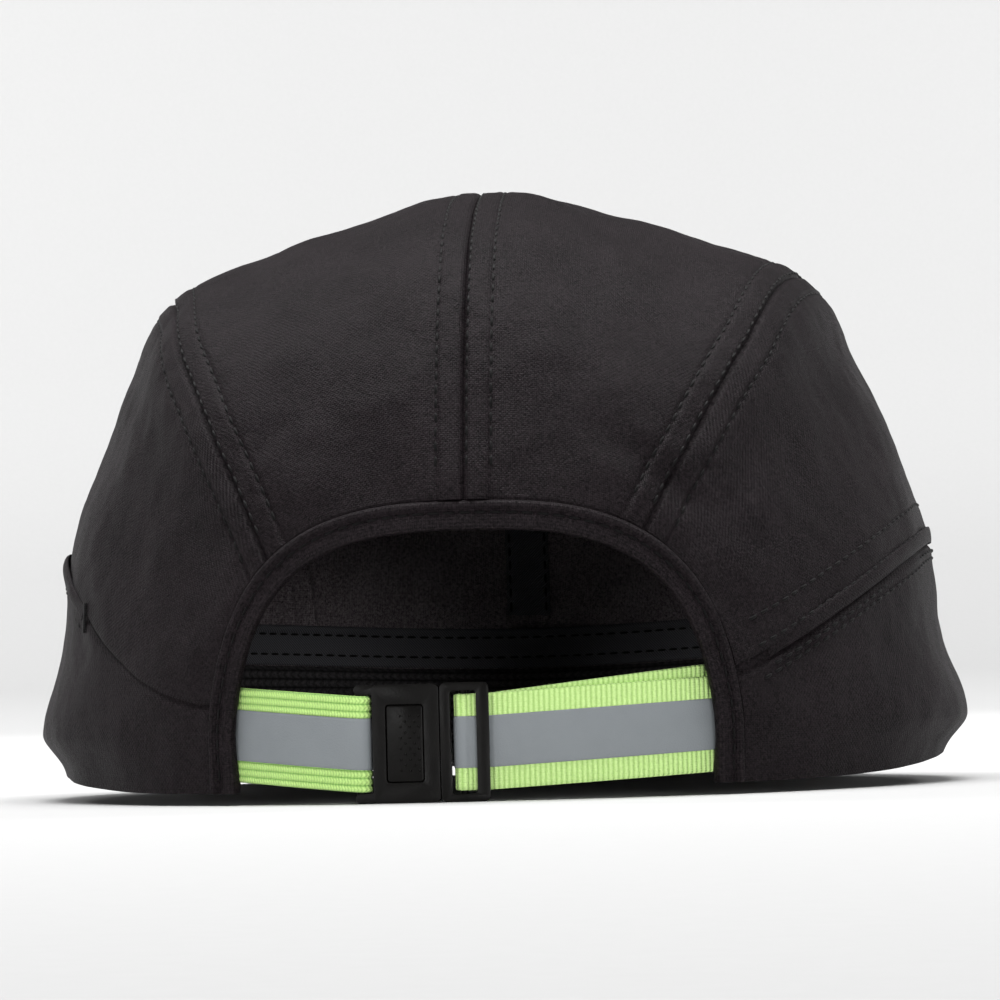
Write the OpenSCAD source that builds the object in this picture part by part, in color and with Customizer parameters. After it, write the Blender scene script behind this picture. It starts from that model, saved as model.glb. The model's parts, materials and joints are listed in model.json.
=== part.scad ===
// Fabric bump cap: a sewn cap with a rear opening, an adjustable strap with a
// push-button buckle, a short brim and a padded shell insert that drops out.
// Millimetres. +Z is up, +Y points to the brim, +X is the wearer's right side.
// The plane z = 0 is the table that the buckle and the brim's edge touch.

/* [Crown] */
// Half width of the crown at the temples
crown_a = 97.5; // [92:0.5:104]
// Half length of the crown
crown_b = 103; // [98:0.5:110]
// Height of the crown's top above the rear hem
crown_h = 129.6; // [120:0.2:140]
// Height of the rear hem above the table
rear_hem_z = 2.4; // [0:0.2:6]
// Rise of the hem from the rear to the brim
hem_rise = 9; // [4:0.5:14]
// Squareness of the dome, 2 is an ellipse
dome_power = 2.6; // [2.2:0.05:3]
// Thickness of the outer cloth with its backing
cloth_t = 1.2; // [0.8:0.1:1.6]
// How far the top panels hang in between their seams
top_sag = 4; // [0:0.5:5]
// How far the side panels hang in below their seams
side_sag = 3.4; // [0:0.2:5]
// How far the side hem turns outwards
hem_flare = 6; // [0:0.5:8]

/* [Rear opening] */
// Half width of the opening, to the outer edge of its binding
arch_half_w = 54.3; // [48:0.5:58]
// Height of the opening, to the outer edge of its binding
arch_h = 58; // [52:0.5:64]
// Width of the binding
binding_w = 5.9; // [5:0.2:8]
// Thickness of the binding
binding_t = 2.4; // [1.6:0.1:3]

/* [Brim] */
// How far the brim stands out past the crown
brim_reach = 56; // [45:1:70]
// Half width of the brim
brim_half_w = 80; // [74:1:86]
// How much higher the brim's edge is in the middle than at its sides
brim_arch = 2.5; // [0:0.5:8]

/* [Strap and buckle] */
// Width of the strap
strap_w = 19.4; // [18:0.2:21]
// Width of the reflective tape on the strap
tape_w = 10.4; // [8:0.2:12]
// Thickness of the elastic half of the strap
elastic_t = 1.3; // [1:0.1:1.5]
// Thickness of one layer of the woven half of the strap
webbing_t = 1; // [0.8:0.1:1]
// Height of the buckle
buckle_h = 24; // [23.8:0.1:25]
// Thickness of the buckle
buckle_t = 5.4; // [5.2:0.1:6]

/* [Insert] */
// How far the shell lies inside the crown's outer surface
shell_inset = 6.5; // [6:0.1:8]
// Wall thickness of the hard shell
shell_t = 2; // [1.6:0.1:2.4]
// Height of the shell's rim above the rear hem
shell_rim_h = 63; // [61:0.5:70]
// Thickness of the foam pads
pad_t = 6; // [4:0.5:8]

/* [Hidden] */
$fn = 32;

waist_z = rear_hem_z + 22;           // the dome starts here, the skirt is below
dome_h = rear_hem_z + crown_h - waist_z;
flare_z = rear_hem_z + 12.5;         // height where the side hem is widest
arch_power = 2.85;
air = 0.15;                          // gap between two sewn layers
tape_t = 0.2;

// Colours
cloth_grey = [0.11, 0.105, 0.11];
twill_black = [0.05, 0.05, 0.055];
knit_black = [0.03, 0.03, 0.03];
lime = [0.62, 0.95, 0.35];
silver_grey = [0.53, 0.56, 0.58];
plastic_black = [0.07, 0.065, 0.06];
steel = [0.6, 0.6, 0.62];
shell_grey = [0.16, 0.16, 0.17];
foam_grey = [0.25, 0.25, 0.27];

// ---------------------------------------------------------------- helpers
function lerp(a, b, t) = a + (b - a) * t;
function unit(v) = v / norm(v);
function flip(p) = [-p[0], p[1], p[2]];
function smooth(t) = t <= 0 ? 0 : t >= 1 ? 1 : t * t * (3 - 2 * t);
function bell(x, width) = exp(-pow(x / width, 2));
// Height of a line through a list of [x, y] points
function table(x, rows, i = 0) =
    i >= len(rows) - 2 || x < rows[i + 1][0]
        ? lerp(rows[i][1], rows[i + 1][1],
               (x - rows[i][0]) / (rows[i + 1][0] - rows[i][0]))
        : table(x, rows, i + 1);

// ---------------------------------------------------------------- crown surface
// How far the side hem stands out at an azimuth and height
function flare(az, z) =
    hem_flare * bell(z - flare_z, z > flare_z ? 13 : 6) * bell(abs(abs(az) - 90) - 86, 38);
function dome_scale(z) =
    z <= waist_z ? 1
                 : pow(max(0, 1 - pow((z - waist_z) / dome_h, dome_power)), 1 / dome_power);
// Point of the crown, without its flare, at an azimuth and height
function plain_at(az, z) =
    let (r = dome_scale(z) / norm([cos(az) / crown_a, sin(az) / crown_b]))
    [r * cos(az), r * sin(az), z];
function flared(p) =
    let (az = atan2(p[1], p[0]), f = flare(az, p[2]))
    [p[0] + f * cos(az), p[1] + f * sin(az), p[2]];
function crown_at(az, z) = flared(plain_at(az, z));
// Point of the crown in the direction d from the middle of the waist
function crown_toward(d) =
    let (e = norm([d[0] / crown_a, d[1] / crown_b]),
         k = d[2] <= 0 ? 1 / e
                       : pow(pow(e, dome_power) + pow(d[2] / dome_h, dome_power),
                             -1 / dome_power))
    flared([d[0] * k, d[1] * k, waist_z + d[2] * k]);
// Crown point along the ray from the middle of the waist through p
function onto_crown(p) = crown_toward([p[0], p[1], p[2] - waist_z]);
function azimuth(p) = atan2(p[1], p[0]);

// ---------------------------------------------------------------- edges and seams
function hem_z(az) = rear_hem_z + hem_rise * smooth((sin(az) + 0.85) / 1.6);
function hem(az) = crown_at(az, hem_z(az));
// Outer edge of the rear opening, from the right foot at t = 0 to the left at 1
function arch(t) =
    let (q = 2 / arch_power, x = arch_half_w * sign(cos(180 * t)) * pow(abs(cos(180 * t)), q),
         z = rear_hem_z + arch_h * pow(sin(180 * t), q),
         y = -crown_b * sqrt(max(0, pow(dome_scale(z), 2) - pow(x / crown_a, 2))))
    flared([x, y, z]);
// The right half's t where the opening reaches a height above the rear hem
function arch_t_at(h) = asin(pow(h / arch_h, arch_power / 2)) / 180;

// One of a pair of values: left, right
function pick(pair, side) = side > 0 ? pair[1] : pair[0];
// Side seam: fore and aft angle, and half width over radius there
seam_rows = [[12, 0.385], [31, 0.535], [48, 0.655], [80, 0.8], [96, 0.825],
             [120, 0.75], [150, 0.62], [180, 0.585]];
seam_foot_az = 59.7;                 // the side seam ends here on the front hem
seam_start_h = [46.8, 51];           // its height at the rear opening, left and right
function fore_angle(p) = atan2(p[2] - waist_z, -p[1]);
function seam_by_angle(b) = crown_toward([table(b, seam_rows), -cos(b), sin(b)]);
// s runs from 0 at the rear opening to 1 at the front hem
function seam_start_t(side) = arch_t_at(pick(seam_start_h, side));
function side_seam(s, side) =
    let (a = arch(seam_start_t(side)), b0 = fore_angle(a), k = s / 0.88)
    k < 1 ? onto_crown(seam_by_angle(lerp(b0, 180, k)) + (a - seam_by_angle(b0)) * pow(1 - k, 2))
          : let (az = azimuth(seam_by_angle(180)), m = (s - 0.88) / 0.12)
            crown_at(lerp(az, seam_foot_az, m), lerp(waist_z, hem_z(seam_foot_az), m));
function center_seam(s) =
    let (b0 = fore_angle(arch(0.5)), b = lerp(b0, 180, s / 0.88))
    s < 0.88 ? crown_toward([0, -cos(b), sin(b)])
             : crown_at(90, lerp(waist_z, hem_z(90), (s - 0.88) / 0.12));
// Seam above the pocket panel: low at the rear opening, level past the side
pocket_end = [0.7783, 0.7742];        // where it meets the side seam, left and right
pocket_start_h = [18, 23.5];         // its height at the rear opening, left and right
pocket_bend = [1.7, 1.05];           // how late it starts to rise, left and right
side_end = 0.7;                      // the side panel's blunt front end
function pocket_seam(q, side) =
    let (a = arch(arch_t_at(pick(pocket_start_h, side))), e = side_seam(pick(pocket_end, side), side))
    crown_at(lerp(azimuth(a), azimuth(e), q),
             lerp(a[2], e[2], pow(sin(90 * min(1, 2.1 * q)), pick(pocket_bend, side))));

// ---------------------------------------------------------------- sheets
// A sheet is a grid of points. This one fills the space between four edges:
// b and t run along u, l and r run along v.
function patch(nu, nv, edge_u, edge_v, b, t, l, r) =
    [for (i = [0:nu]) [for (j = [0:nv])
        let (u = lerp(edge_u, 1 - edge_u, i / nu), v = lerp(edge_v, 1 - edge_v, j / nv))
        onto_crown((1 - v) * b(u) + v * t(u) + (1 - u) * l(v) + u * r(v)
                   - (1 - u) * (1 - v) * b(0) - u * (1 - v) * b(1)
                   - (1 - u) * v * t(0) - u * v * t(1))]];
// A band of width w on the crown along a curve c
function strip(c, s0, s1, n, w, m = 2) =
    [for (i = [0:n])
        let (s = lerp(s0, s1, i / n), p = c(s), across = unit(cross(c(s + 0.004) - c(s - 0.004),
             [p[0], p[1], p[2] - waist_z])))
        [for (j = [0:m]) onto_crown(p + across * w * (j / m - 0.5))]];
// A band on the unflared crown between two heights
function ring_band(az0, az1, n, low, high, m = 3) =
    [for (i = [0:n]) let (az = lerp(az0, az1, i / n))
        [for (j = [0:m]) plain_at(az, lerp(low(az), high(az), j / m))]];
function grid_normal(g, i, j) =
    let (n = len(g) - 1, m = len(g[0]) - 1)
    unit(cross(g[min(i + 1, n)][j] - g[max(i - 1, 0)][j],
               g[i][min(j + 1, m)] - g[i][max(j - 1, 0)]));
// +1 where a sheet's normals point out of the crown, -1 where they point in
function facing(g) = sign(grid_normal(g, 1, 1) * (g[1][1] - [0, 0, waist_z]));
// A sheet moved inwards by depth(i, j)
function sunk(g, depth) =
    let (out = facing(g))
    [for (i = [0:len(g) - 1]) [for (j = [0:len(g[0]) - 1])
        g[i][j] - out * depth(i, j) * grid_normal(g, i, j)]];
function mirrored(g, side) = side > 0 ? g : [for (row = g) [for (p = row) flip(p)]];

// Closed solid between two sheets, upper being the one its normals point to
module between(lower, upper) {
    n = len(lower) - 1;
    m = len(lower[0]) - 1;
    half = (n + 1) * (m + 1);
    rim = concat([for (i = [0:n]) i * (m + 1)], [for (j = [1:m]) n * (m + 1) + j],
                 [for (i = [n - 1:-1:0]) i * (m + 1) + m], [for (j = [m - 1:-1:1]) j]);
    polyhedron(
        points = [for (g = [lower, upper]) for (row = g) for (p = row) p],
        faces = concat(
            [for (i = [0:n - 1]) for (j = [0:m - 1]) let (k = i * (m + 1) + j)
                each [[k, k + m + 1, k + m + 2], [k, k + m + 2, k + 1]]],
            [for (i = [0:n - 1]) for (j = [0:m - 1]) let (k = half + i * (m + 1) + j)
                each [[k, k + m + 2, k + m + 1], [k, k + 1, k + m + 2]]],
            [for (k = [0:len(rim) - 1]) let (p = rim[k], q = rim[(k + 1) % len(rim)])
                each [[p, half + p, half + q], [p, half + q, q]]]));
}
// Cloth between two depths below a sheet; a level foot keeps the hem's height
module layer(g, shallow, deep, level_foot = false) {
    function held(h) = [for (i = [0:len(h) - 1]) [for (j = [0:len(h[0]) - 1])
        level_foot && j == 0 ? [h[i][0][0], h[i][0][1], g[i][0][2]] : h[i][j]]];
    outer = held(sunk(g, function (i, j) shallow));
    inner = held(sunk(g, function (i, j) deep));
    if (facing(g) > 0) between(inner, outer);
    else between(outer, inner);
}
// Closed solid through a list of equal sections, listed from one end to the other
module skin(sections) {
    n = len(sections);
    m = len(sections[0]);
    polyhedron(
        points = [for (s = sections) for (p = s) p],
        faces = concat(
            [[for (j = [m - 1:-1:0]) j]], [[for (j = [0:m - 1]) (n - 1) * m + j]],
            [for (i = [0:n - 2]) for (j = [0:m - 1])
                let (a = i * m + j, b = i * m + (j + 1) % m)
                each [[a, b, b + m], [a, b + m, a + m]]]));
}

// ---------------------------------------------------------------- cloth panels
function top_sheet(side) =
    let (g = patch(26, 11, 0.002, 0.005,
                   function (u) center_seam(u), function (u) side_seam(u, side),
                   function (v) arch(lerp(0.5, seam_start_t(side), v)),
                   function (v) hem(lerp(90, seam_foot_az, v))))
    mirrored(sunk(g, function (i, j)
                 top_sag * smooth((j / 11 - 0.06) / 0.2) * smooth((0.97 - j / 11) / 0.3)
                 * smooth(4 * i / 26) * smooth(3.5 * (0.86 - i / 26))), side);
function side_sheet(side) =
    let (g = patch(20, 9, 0.003, 0.006,
                   function (u) pocket_seam(u, side), function (u) side_seam(u * side_end, side),
                   function (v) arch(lerp(arch_t_at(pick(pocket_start_h, side)),
                                          seam_start_t(side), v)),
                   function (v) side_seam(lerp(pick(pocket_end, side), side_end, v), side)))
    mirrored(sunk(g, function (i, j)
                 side_sag * smooth(j / 9 / 0.5) * smooth((0.93 - j / 9) / 0.3)
                 * smooth(4 * i / 20) * smooth(4 - 4 * i / 20)), side);
function lower_sheet(side) =
    let (foot_az = azimuth(arch(0)))
    mirrored(patch(26, 7, 0.003, 0,
                   function (u) hem(lerp(foot_az, seam_foot_az, u)),
                   function (u) pocket_seam(u, side) - [0, 0, 0.25],
                   function (v) arch(arch_t_at(pick(pocket_start_h, side) * v)),
                   function (v) side_seam(lerp(1, pick(pocket_end, side), v), side)), side);

module top_panel(side) { color(cloth_grey) layer(top_sheet(side), 0, cloth_t); }
module side_panel(side) { color(cloth_grey) layer(side_sheet(side), 0, cloth_t); }
module lower_panel(side) { color(cloth_grey) layer(lower_sheet(side), 0, cloth_t, true); }

// Binding around the rear opening, with a rolled outer edge
module arch_binding() {
    steps = 56;
    color(cloth_grey) skin([for (i = [0:steps])
        let (t = i / steps, p = arch(t),
             ahead = arch(min(1, t + 0.005)) - arch(max(0, t - 0.005)),
             along = i == 0 ? [0, 0, 1] : i == steps ? [0, 0, -1] : unit(ahead),
             out = unit([p[0] / pow(crown_a, 2), p[1] / pow(crown_b, 2),
                         max(0, p[2] - waist_z) / pow(dome_h, 2) * 0.5]),
             inward = unit(cross(out, along)), face = cross(along, inward))
        [for (q = [[0.3, -0.2], [0.3, 0.7], [0.9, 1], [1.6, 0.7], [2.2, 0.3], [binding_w, 0.3],
                   [binding_w, 0.3 - binding_t], [1.4, 0.3 - binding_t]])
            p + inward * q[0] + face * q[1]]]);
}

// Twill tapes over the seams inside the crown
seam_tape_depth = cloth_t + 0.9;
module seam_tape(c, s0, s1, side = 1) {
    color(twill_black)
        layer(mirrored(strip(c, s0, s1, 26, 11), side), seam_tape_depth, seam_tape_depth + 0.5);
}
module seam_tape_center() { seam_tape(function (s) center_seam(s), 0.05, 0.83); }
module side_seam_tape(side) { seam_tape(function (s) side_seam(s, side), 0.06, 0.72, side); }

// Sweatband: a knit band around the inside of the hem with a twill strip above
band_end = 53;                       // degrees from the side to the band's rear ends
function band_top(az) = hem_z(az) + 26 + 3 * (1 - bell(az - 90, 35));
function facing_low(az) = band_top(az) - 9.8;
module sweatband(low, high, deep) {
    layer(ring_band(-band_end, 180 + band_end, 60, low, high), cloth_t + 0.4, deep);
}
module sweatband_facing() {
    color(twill_black) sweatband(function (az) facing_low(az), function (az) band_top(az), 2.4);
}
module sweatband_knit() {
    color(knit_black) sweatband(function (az) hem_z(az) + 0.4,
                                function (az) facing_low(az) - air, 3.8);
}

// Rolled lips of the two side pockets; the left one starts past a plain seam
pocket_lip_h = 0.9;
pocket_lip_q = [[0.26, 0.96], [0.04, 0.96]];
module pocket_welt(side) {
    lip = pick(pocket_lip_q, side);
    color(cloth_grey)
    layer(mirrored(strip(function (q) pocket_seam(q, side), lip[0], lip[1], 22, 3.4), side),
          -pocket_lip_h, -air);
}
// Dense thread bars at the pocket mouths
module bartacks() {
    color(twill_black) {
        layer(mirrored(strip(function (q) pocket_seam(0.25, -1) + [0, 0, 60 * (q - 0.5)],
                             0.45, 0.55, 3, 1.8), -1), -0.6, -air);
        layer(strip(function (q) pocket_seam(q, 1) + [0, 0, 3.2], 0.035, 0.08, 3, 2.2), -0.6, -air);
    }
}

// ---------------------------------------------------------------- brim
brim_az = 40;                        // azimuth of the brim's corners on the hem
brim_t = 2;                          // stiffener board
cover_t = 0.9;
piping_r = 1.9;
function brim_root(u, gap = 0.5) =
    let (p = plain_at(lerp(90, brim_az, u), hem_z(lerp(90, brim_az, u))))
    p + unit([p[0], p[1], 0]) * (gap + flare(azimuth(p), p[2]));
brim_corner_y = 63;                  // where its side edges end
brim_corner_u = 0.97;                // the covers stop just short of that
function brim_edge(u, inset = 0) =
    let (s = sin(90 * u), c = max(0, cos(90 * u)),
         reach = crown_b + brim_reach - brim_corner_y - inset)
    [(brim_half_w - inset) * sign(s) * pow(abs(s), 0.86), brim_corner_y + reach * pow(c, 0.8),
     piping_r + brim_arch * (1 - u * u)];
function brim_sheet(z) =
    [for (i = [-14:14])
        let (u = brim_corner_u * i / 14, a = brim_root(u), b = brim_edge(u, piping_r + 0.4))
        [for (j = [0:5]) lerp(a, b, j / 5) + [0, 0, z]]];
module brim_layer(z0, z1) { between(brim_sheet(z0), brim_sheet(z1)); }
module brim_board() { color(plastic_black) brim_layer(-brim_t / 2, brim_t / 2); }
module brim_cover_top() {
    color(cloth_grey) brim_layer(brim_t / 2 + 0.05, brim_t / 2 + cover_t);
}
module brim_cover_under() {
    color(cloth_grey) brim_layer(-brim_t / 2 - cover_t + 0.05, -brim_t / 2 - 0.05);
}
module brim_edge_piping() {
    color(cloth_grey) skin([for (i = [-20:20])
        let (p = brim_edge(i / 20), d = brim_edge((i + 0.5) / 20) - brim_edge((i - 0.5) / 20),
             side = unit([d[1], -d[0], 0]))
        [for (k = [0:7]) p + piping_r * (side * cos(45 * k) + [0, 0, sin(45 * k)])]]);
}

// ---------------------------------------------------------------- straps
face_y = -99.6;                      // front of the buckle
buckle_mid_z = buckle_h / 2;
bar_x = -22.3;                       // bar of the housing that holds the elastic
bar_y = -97.1;
bar_r = 0.9;
ladder_x = -1.5;                     // bar of the clip that holds the webbing
ladder_y = -97;
ladder_r = 0.8;
anchor_x = 57;                       // both straps end here, sewn under the cloth
anchor_y = -79.8;
elastic_turn = bar_r + 0.15 + elastic_t / 2;
webbing_turn = ladder_r + 0.1 + webbing_t / 2;
// Strap line from its anchor to a bar, n + 1 points
function strap_run(x1, y1, side, power, back, n = 14) =
    [for (i = [0:n]) let (k = 1 - i / n)
        [x1 + (side * anchor_x - x1) * k, y1 + (anchor_y + back - y1) * pow(k, power)]];
function reversed(list) = [for (i = [len(list) - 1:-1:0]) list[i]];
function turn(x, y, r, a0, a1, n = 10) =
    [for (i = [0:n]) let (a = lerp(a0, a1, i / n)) [x + r * cos(a), y + r * sin(a)]];
elastic_path = concat(
    strap_run(bar_x - 0.6, bar_y - elastic_turn, -1, 1.4, 0),
    turn(bar_x, bar_y, elastic_turn, -90, 90),
    [[bar_x - 3.5, bar_y + 1.35], [bar_x - 8.5, bar_y + 2.25], [bar_x - 13, bar_y + 3.9]]);
webbing_path = concat(
    strap_run(3.2, ladder_y - 0.05, 1, 2.5, 0),
    turn(ladder_x, ladder_y, webbing_turn, -50, -270, 12),
    [[3.2, ladder_y + 1.25]],
    reversed(strap_run(4.4, ladder_y + 1.25, 1, 2.5, 1.6)));
function line_left(p, i) =
    let (a = p[max(0, i - 1)], b = p[min(len(p) - 1, i + 1)], d = unit(b - a)) [-d[1], d[0]];
// A band standing on edge along a path, between two offsets to the path's left
module band(path, d0, d1, w, mid) {
    skin([for (i = [0:len(path) - 1])
        let (p = path[i], n = line_left(path, i), a = p + n * d0, b = p + n * d1, z = mid(i))
        [[a[0], a[1], z - w / 2], [a[0], a[1], z + w / 2],
         [b[0], b[1], z + w / 2], [b[0], b[1], z - w / 2]]]);
}

// Heights of the strap's middle: it droops from its anchors to the buckle
function elastic_mid(x) = buckle_mid_z + 2.3 * max(0, bar_x - x) / 25;
function webbing_mid(x, behind) = buckle_mid_z + (behind ? 4.9 : 2.3) * max(0, x - 3) / 45;
front_points = 15 + 6;               // webbing points up to the middle of its turn
function webbing_mid_at(i) =
    webbing_mid(webbing_path[i][0], i > front_points);

module elastic_strap() {
    color(lime) band(elastic_path, -elastic_t / 2, elastic_t / 2, strap_w,
                     function (i) elastic_mid(elastic_path[i][0]));
}
module elastic_reflective_tape() {
    path = [for (i = [4:19]) elastic_path[i]];
    color(silver_grey) band(path, -elastic_t / 2 - tape_t, -elastic_t / 2 - 0.02, tape_w,
                            function (i) elastic_mid(path[i][0]));
}
module webbing_strap() {
    color(lime) band(webbing_path, -webbing_t / 2, webbing_t / 2, strap_w,
                     function (i) webbing_mid_at(i));
}
module webbing_reflective_tape() {
    path = [for (i = [3:front_points]) webbing_path[i]];
    color(silver_grey) band(path, webbing_t / 2 + 0.02, webbing_t / 2 + tape_t, tape_w,
                            function (i) webbing_mid(path[i][0], false));
}

// ---------------------------------------------------------------- buckle
housing_x0 = -19.7;
housing_x1 = -6.2;
clip_x0 = -6;
clip_x1 = 3.8;
window_x = [-17, -9.3];
window_z = [4.1, 19.9];
back_y = face_y + buckle_t;
module rounded(w, h, r) {
    translate([r, 0]) square([w - 2 * r, h]);
    translate([0, r]) square([w, h - 2 * r]);
    for (x = [r, w - r])
        for (y = [r, h - r])
            translate([x, y]) circle(r);
}
module plate(x, z, y, r) {
    translate([x[0], y[1], z[0]])
        rotate([90, 0, 0])
            linear_extrude(y[1] - y[0])
                rounded(x[1] - x[0], z[1] - z[0], r);
}
module box(x, y, z) { translate([x[0], y[0], z[0]]) cube([x[1] - x[0], y[1] - y[0], z[1] - z[0]]); }
module post(x, y, r, z) { translate([x, y, z[0]]) cylinder(r = r, h = z[1] - z[0]); }

module buckle_housing() {
    arm_x = [bar_x - 1.1, housing_x0 + 1];
    arm_y = [bar_y - 1.5, bar_y + 1.5];
    color(plastic_black) difference() {
        union() {
            plate([housing_x0, housing_x1], [0.1, buckle_h - 0.1], [face_y, back_y], 1.2);
            plate(arm_x, [0.1, 2.1], arm_y, 0.95);
            plate(arm_x, [buckle_h - 2.1, buckle_h - 0.1], arm_y, 0.95);
            post(bar_x, bar_y, bar_r, [1, buckle_h - 1]);
        }
        plate(window_x, window_z, [face_y - 1, face_y + 1.8], 0.8);
        box([-18.4, housing_x1 + 1], [face_y + 1.7, face_y + 4], [3.4, buckle_h - 3.4]);
    }
}
module buckle_clip() {
    frame_y = [face_y + 0.2, face_y + 1.2];
    color(plastic_black) {
        difference() {
            plate([clip_x0, clip_x1], [0, buckle_h], frame_y, 1.2);
            plate([-4, 1.3], [1.6, buckle_h - 1.6], [frame_y[0] - 1, frame_y[1] + 1], 0.8);
        }
        box([clip_x0, -4.1], [frame_y[1] - 0.2, back_y - 0.6], [0.8, buckle_h - 0.8]);
        for (z = [0.2, buckle_h - 1.6])
            box([-4.2, -0.4], [frame_y[1] - 0.2, ladder_y + ladder_r], [z, z + 1.4]);
        post(ladder_x, ladder_y, ladder_r, [0.8, buckle_h - 0.8]);
        for (z = [3.8, buckle_h - 5.4])
            box([-16, clip_x0 + 0.2], [face_y + 2.7, face_y + 3.9], [z, z + 1.6]);
    }
}
module release_button() {
    color(plastic_black) {
        plate([window_x[0] + 0.12, window_x[1] - 0.12], [window_z[0] + 0.12, window_z[1] - 0.12],
              [face_y + 0.3, face_y + 1.4], 0.7);
        box([-15.2, -11.1], [face_y + 1.3, face_y + 2.2], [7, 17]);
    }
}
module button_spring() {
    r = 3.3;
    top_y = face_y + 2.25;
    color(steel) intersection() {
        difference() {
            post(-13.15, top_y + r, r, [8, 16]);
            post(-13.15, top_y + r, r - 0.25, [7, 17]);
        }
        box([-18, -8], [face_y + 1.7, face_y + 3.9], [6, 18]);
    }
}

// ---------------------------------------------------------------- insert
rim_z = rear_hem_z + shell_rim_h;
// Point of a dome inset from the crown; k runs from the shell's rim to its top
function dome_at(az, k, inset) =
    let (rim = asin(pow((rim_z - waist_z) / (dome_h - inset), dome_power / 2)),
         up = lerp(rim, 90, k), r = pow(cos(up), 2 / dome_power))
    [(crown_a - inset) * r * cos(az), (crown_b - inset) * r * sin(az),
     waist_z + (dome_h - inset) * pow(sin(up), 2 / dome_power)];
dome_n = 40;                         // facets around the shell
module dome(outer, inner, k0, m) {
    n = dome_n;
    half = n * m + 1;
    function ring(i, a) = i * n + a % n;
    polyhedron(
        points = [for (inset = [outer, inner])
            each concat([for (i = [0:m - 1]) for (a = [0:n - 1])
                             dome_at(360 * a / n, lerp(k0, 1, i / m), inset)],
                        [dome_at(0, 1, inset)])],
        faces = [for (a = [0:n - 1]) each concat(
            [for (i = [0:m - 2]) each [
                [ring(i, a), ring(i + 1, a), ring(i + 1, a + 1)],
                [ring(i, a), ring(i + 1, a + 1), ring(i, a + 1)],
                [half + ring(i, a), half + ring(i + 1, a + 1), half + ring(i + 1, a)],
                [half + ring(i, a), half + ring(i, a + 1), half + ring(i + 1, a + 1)]]],
            [[ring(m - 1, a), half - 1, ring(m - 1, a + 1)],
             [half + ring(m - 1, a), half + ring(m - 1, a + 1), 2 * half - 1],
             [ring(0, a), ring(0, a + 1), half + ring(0, a + 1)],
             [ring(0, a), half + ring(0, a + 1), half + ring(0, a)]])]);
}
module insert_shell() {
    color(shell_grey) difference() {
        dome(shell_inset, shell_inset + shell_t, 0, 10);
        for (az = [45, 135, 225, 315])
            rotate([0, 0, az]) translate([0, -4, waist_z])
                rotate([0, 40, 0]) translate([-98, 0, 0]) rotate([0, -90, 0])
                    translate([-14, 0, -12]) linear_extrude(30) rounded(28, 8, 3.9);
    }
}
// The pads' facets line up with the shell's, so a small gap keeps them clear of it
pad_inset = shell_inset + shell_t + 0.3;
module pad(az, facets) {
    function sheet(inset) =
        [for (i = [0:facets]) [for (j = [0:4])
            dome_at(az + (i - facets / 2) * 360 / dome_n, lerp(0.03, 0.4, j / 4), inset)]];
    color(foam_grey) between(sheet(pad_inset + pad_t), sheet(pad_inset));
}
module crown_pad() { color(foam_grey) dome(pad_inset, pad_inset + pad_t, 0.7, 3); }
module front_pad() { pad(90, 8); }
module rear_pad() { pad(270, 6); }
module side_pad(side) { pad(side > 0 ? 0 : 180, 8); }

// Hook and loop patches that hold the insert in the crown
module patches(shallow, deep) {
    for (s = [[0.11, 0.2], [0.65, 0.75]])
        layer(strip(function (u) center_seam(u), s[0], s[1], 5, 13), shallow, deep);
    for (side = [-1, 1])
        layer(mirrored(strip(function (u) side_seam(u, side), 0.34, 0.43, 5, 13), side),
              shallow, deep);
}
module loop_patches() { color(knit_black) patches(2.8, 3.7); }
module hook_patches() { color(knit_black) patches(4.05, 6.3); }

top_panel(-1);  // top_panel_left
top_panel(1);  // top_panel_right
side_panel(-1);  // side_panel_left
side_panel(1);  // side_panel_right
lower_panel(-1);  // lower_panel_left
lower_panel(1);  // lower_panel_right
arch_binding();
seam_tape_center();
side_seam_tape(-1);  // seam_tape_left
side_seam_tape(1);  // seam_tape_right
sweatband_knit();
sweatband_facing();
pocket_welt(-1);  // pocket_welt_left
pocket_welt(1);  // pocket_welt_right
bartacks();
brim_board();
brim_cover_top();
brim_cover_under();
brim_edge_piping();
elastic_strap();
elastic_reflective_tape();
webbing_strap();
webbing_reflective_tape();
buckle_housing();
buckle_clip();
release_button();
button_spring();
loop_patches();
insert_shell();
hook_patches();
crown_pad();
front_pad();
rear_pad();
side_pad(-1);  // side_pad_left
side_pad(1);  // side_pad_right
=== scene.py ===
"""Bump cap: cloth, seams, sweatband, strap, buckle and insert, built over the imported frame."""
import json
import math

import bpy
import numpy as np
from mathutils import Matrix, Vector, noise

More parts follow.
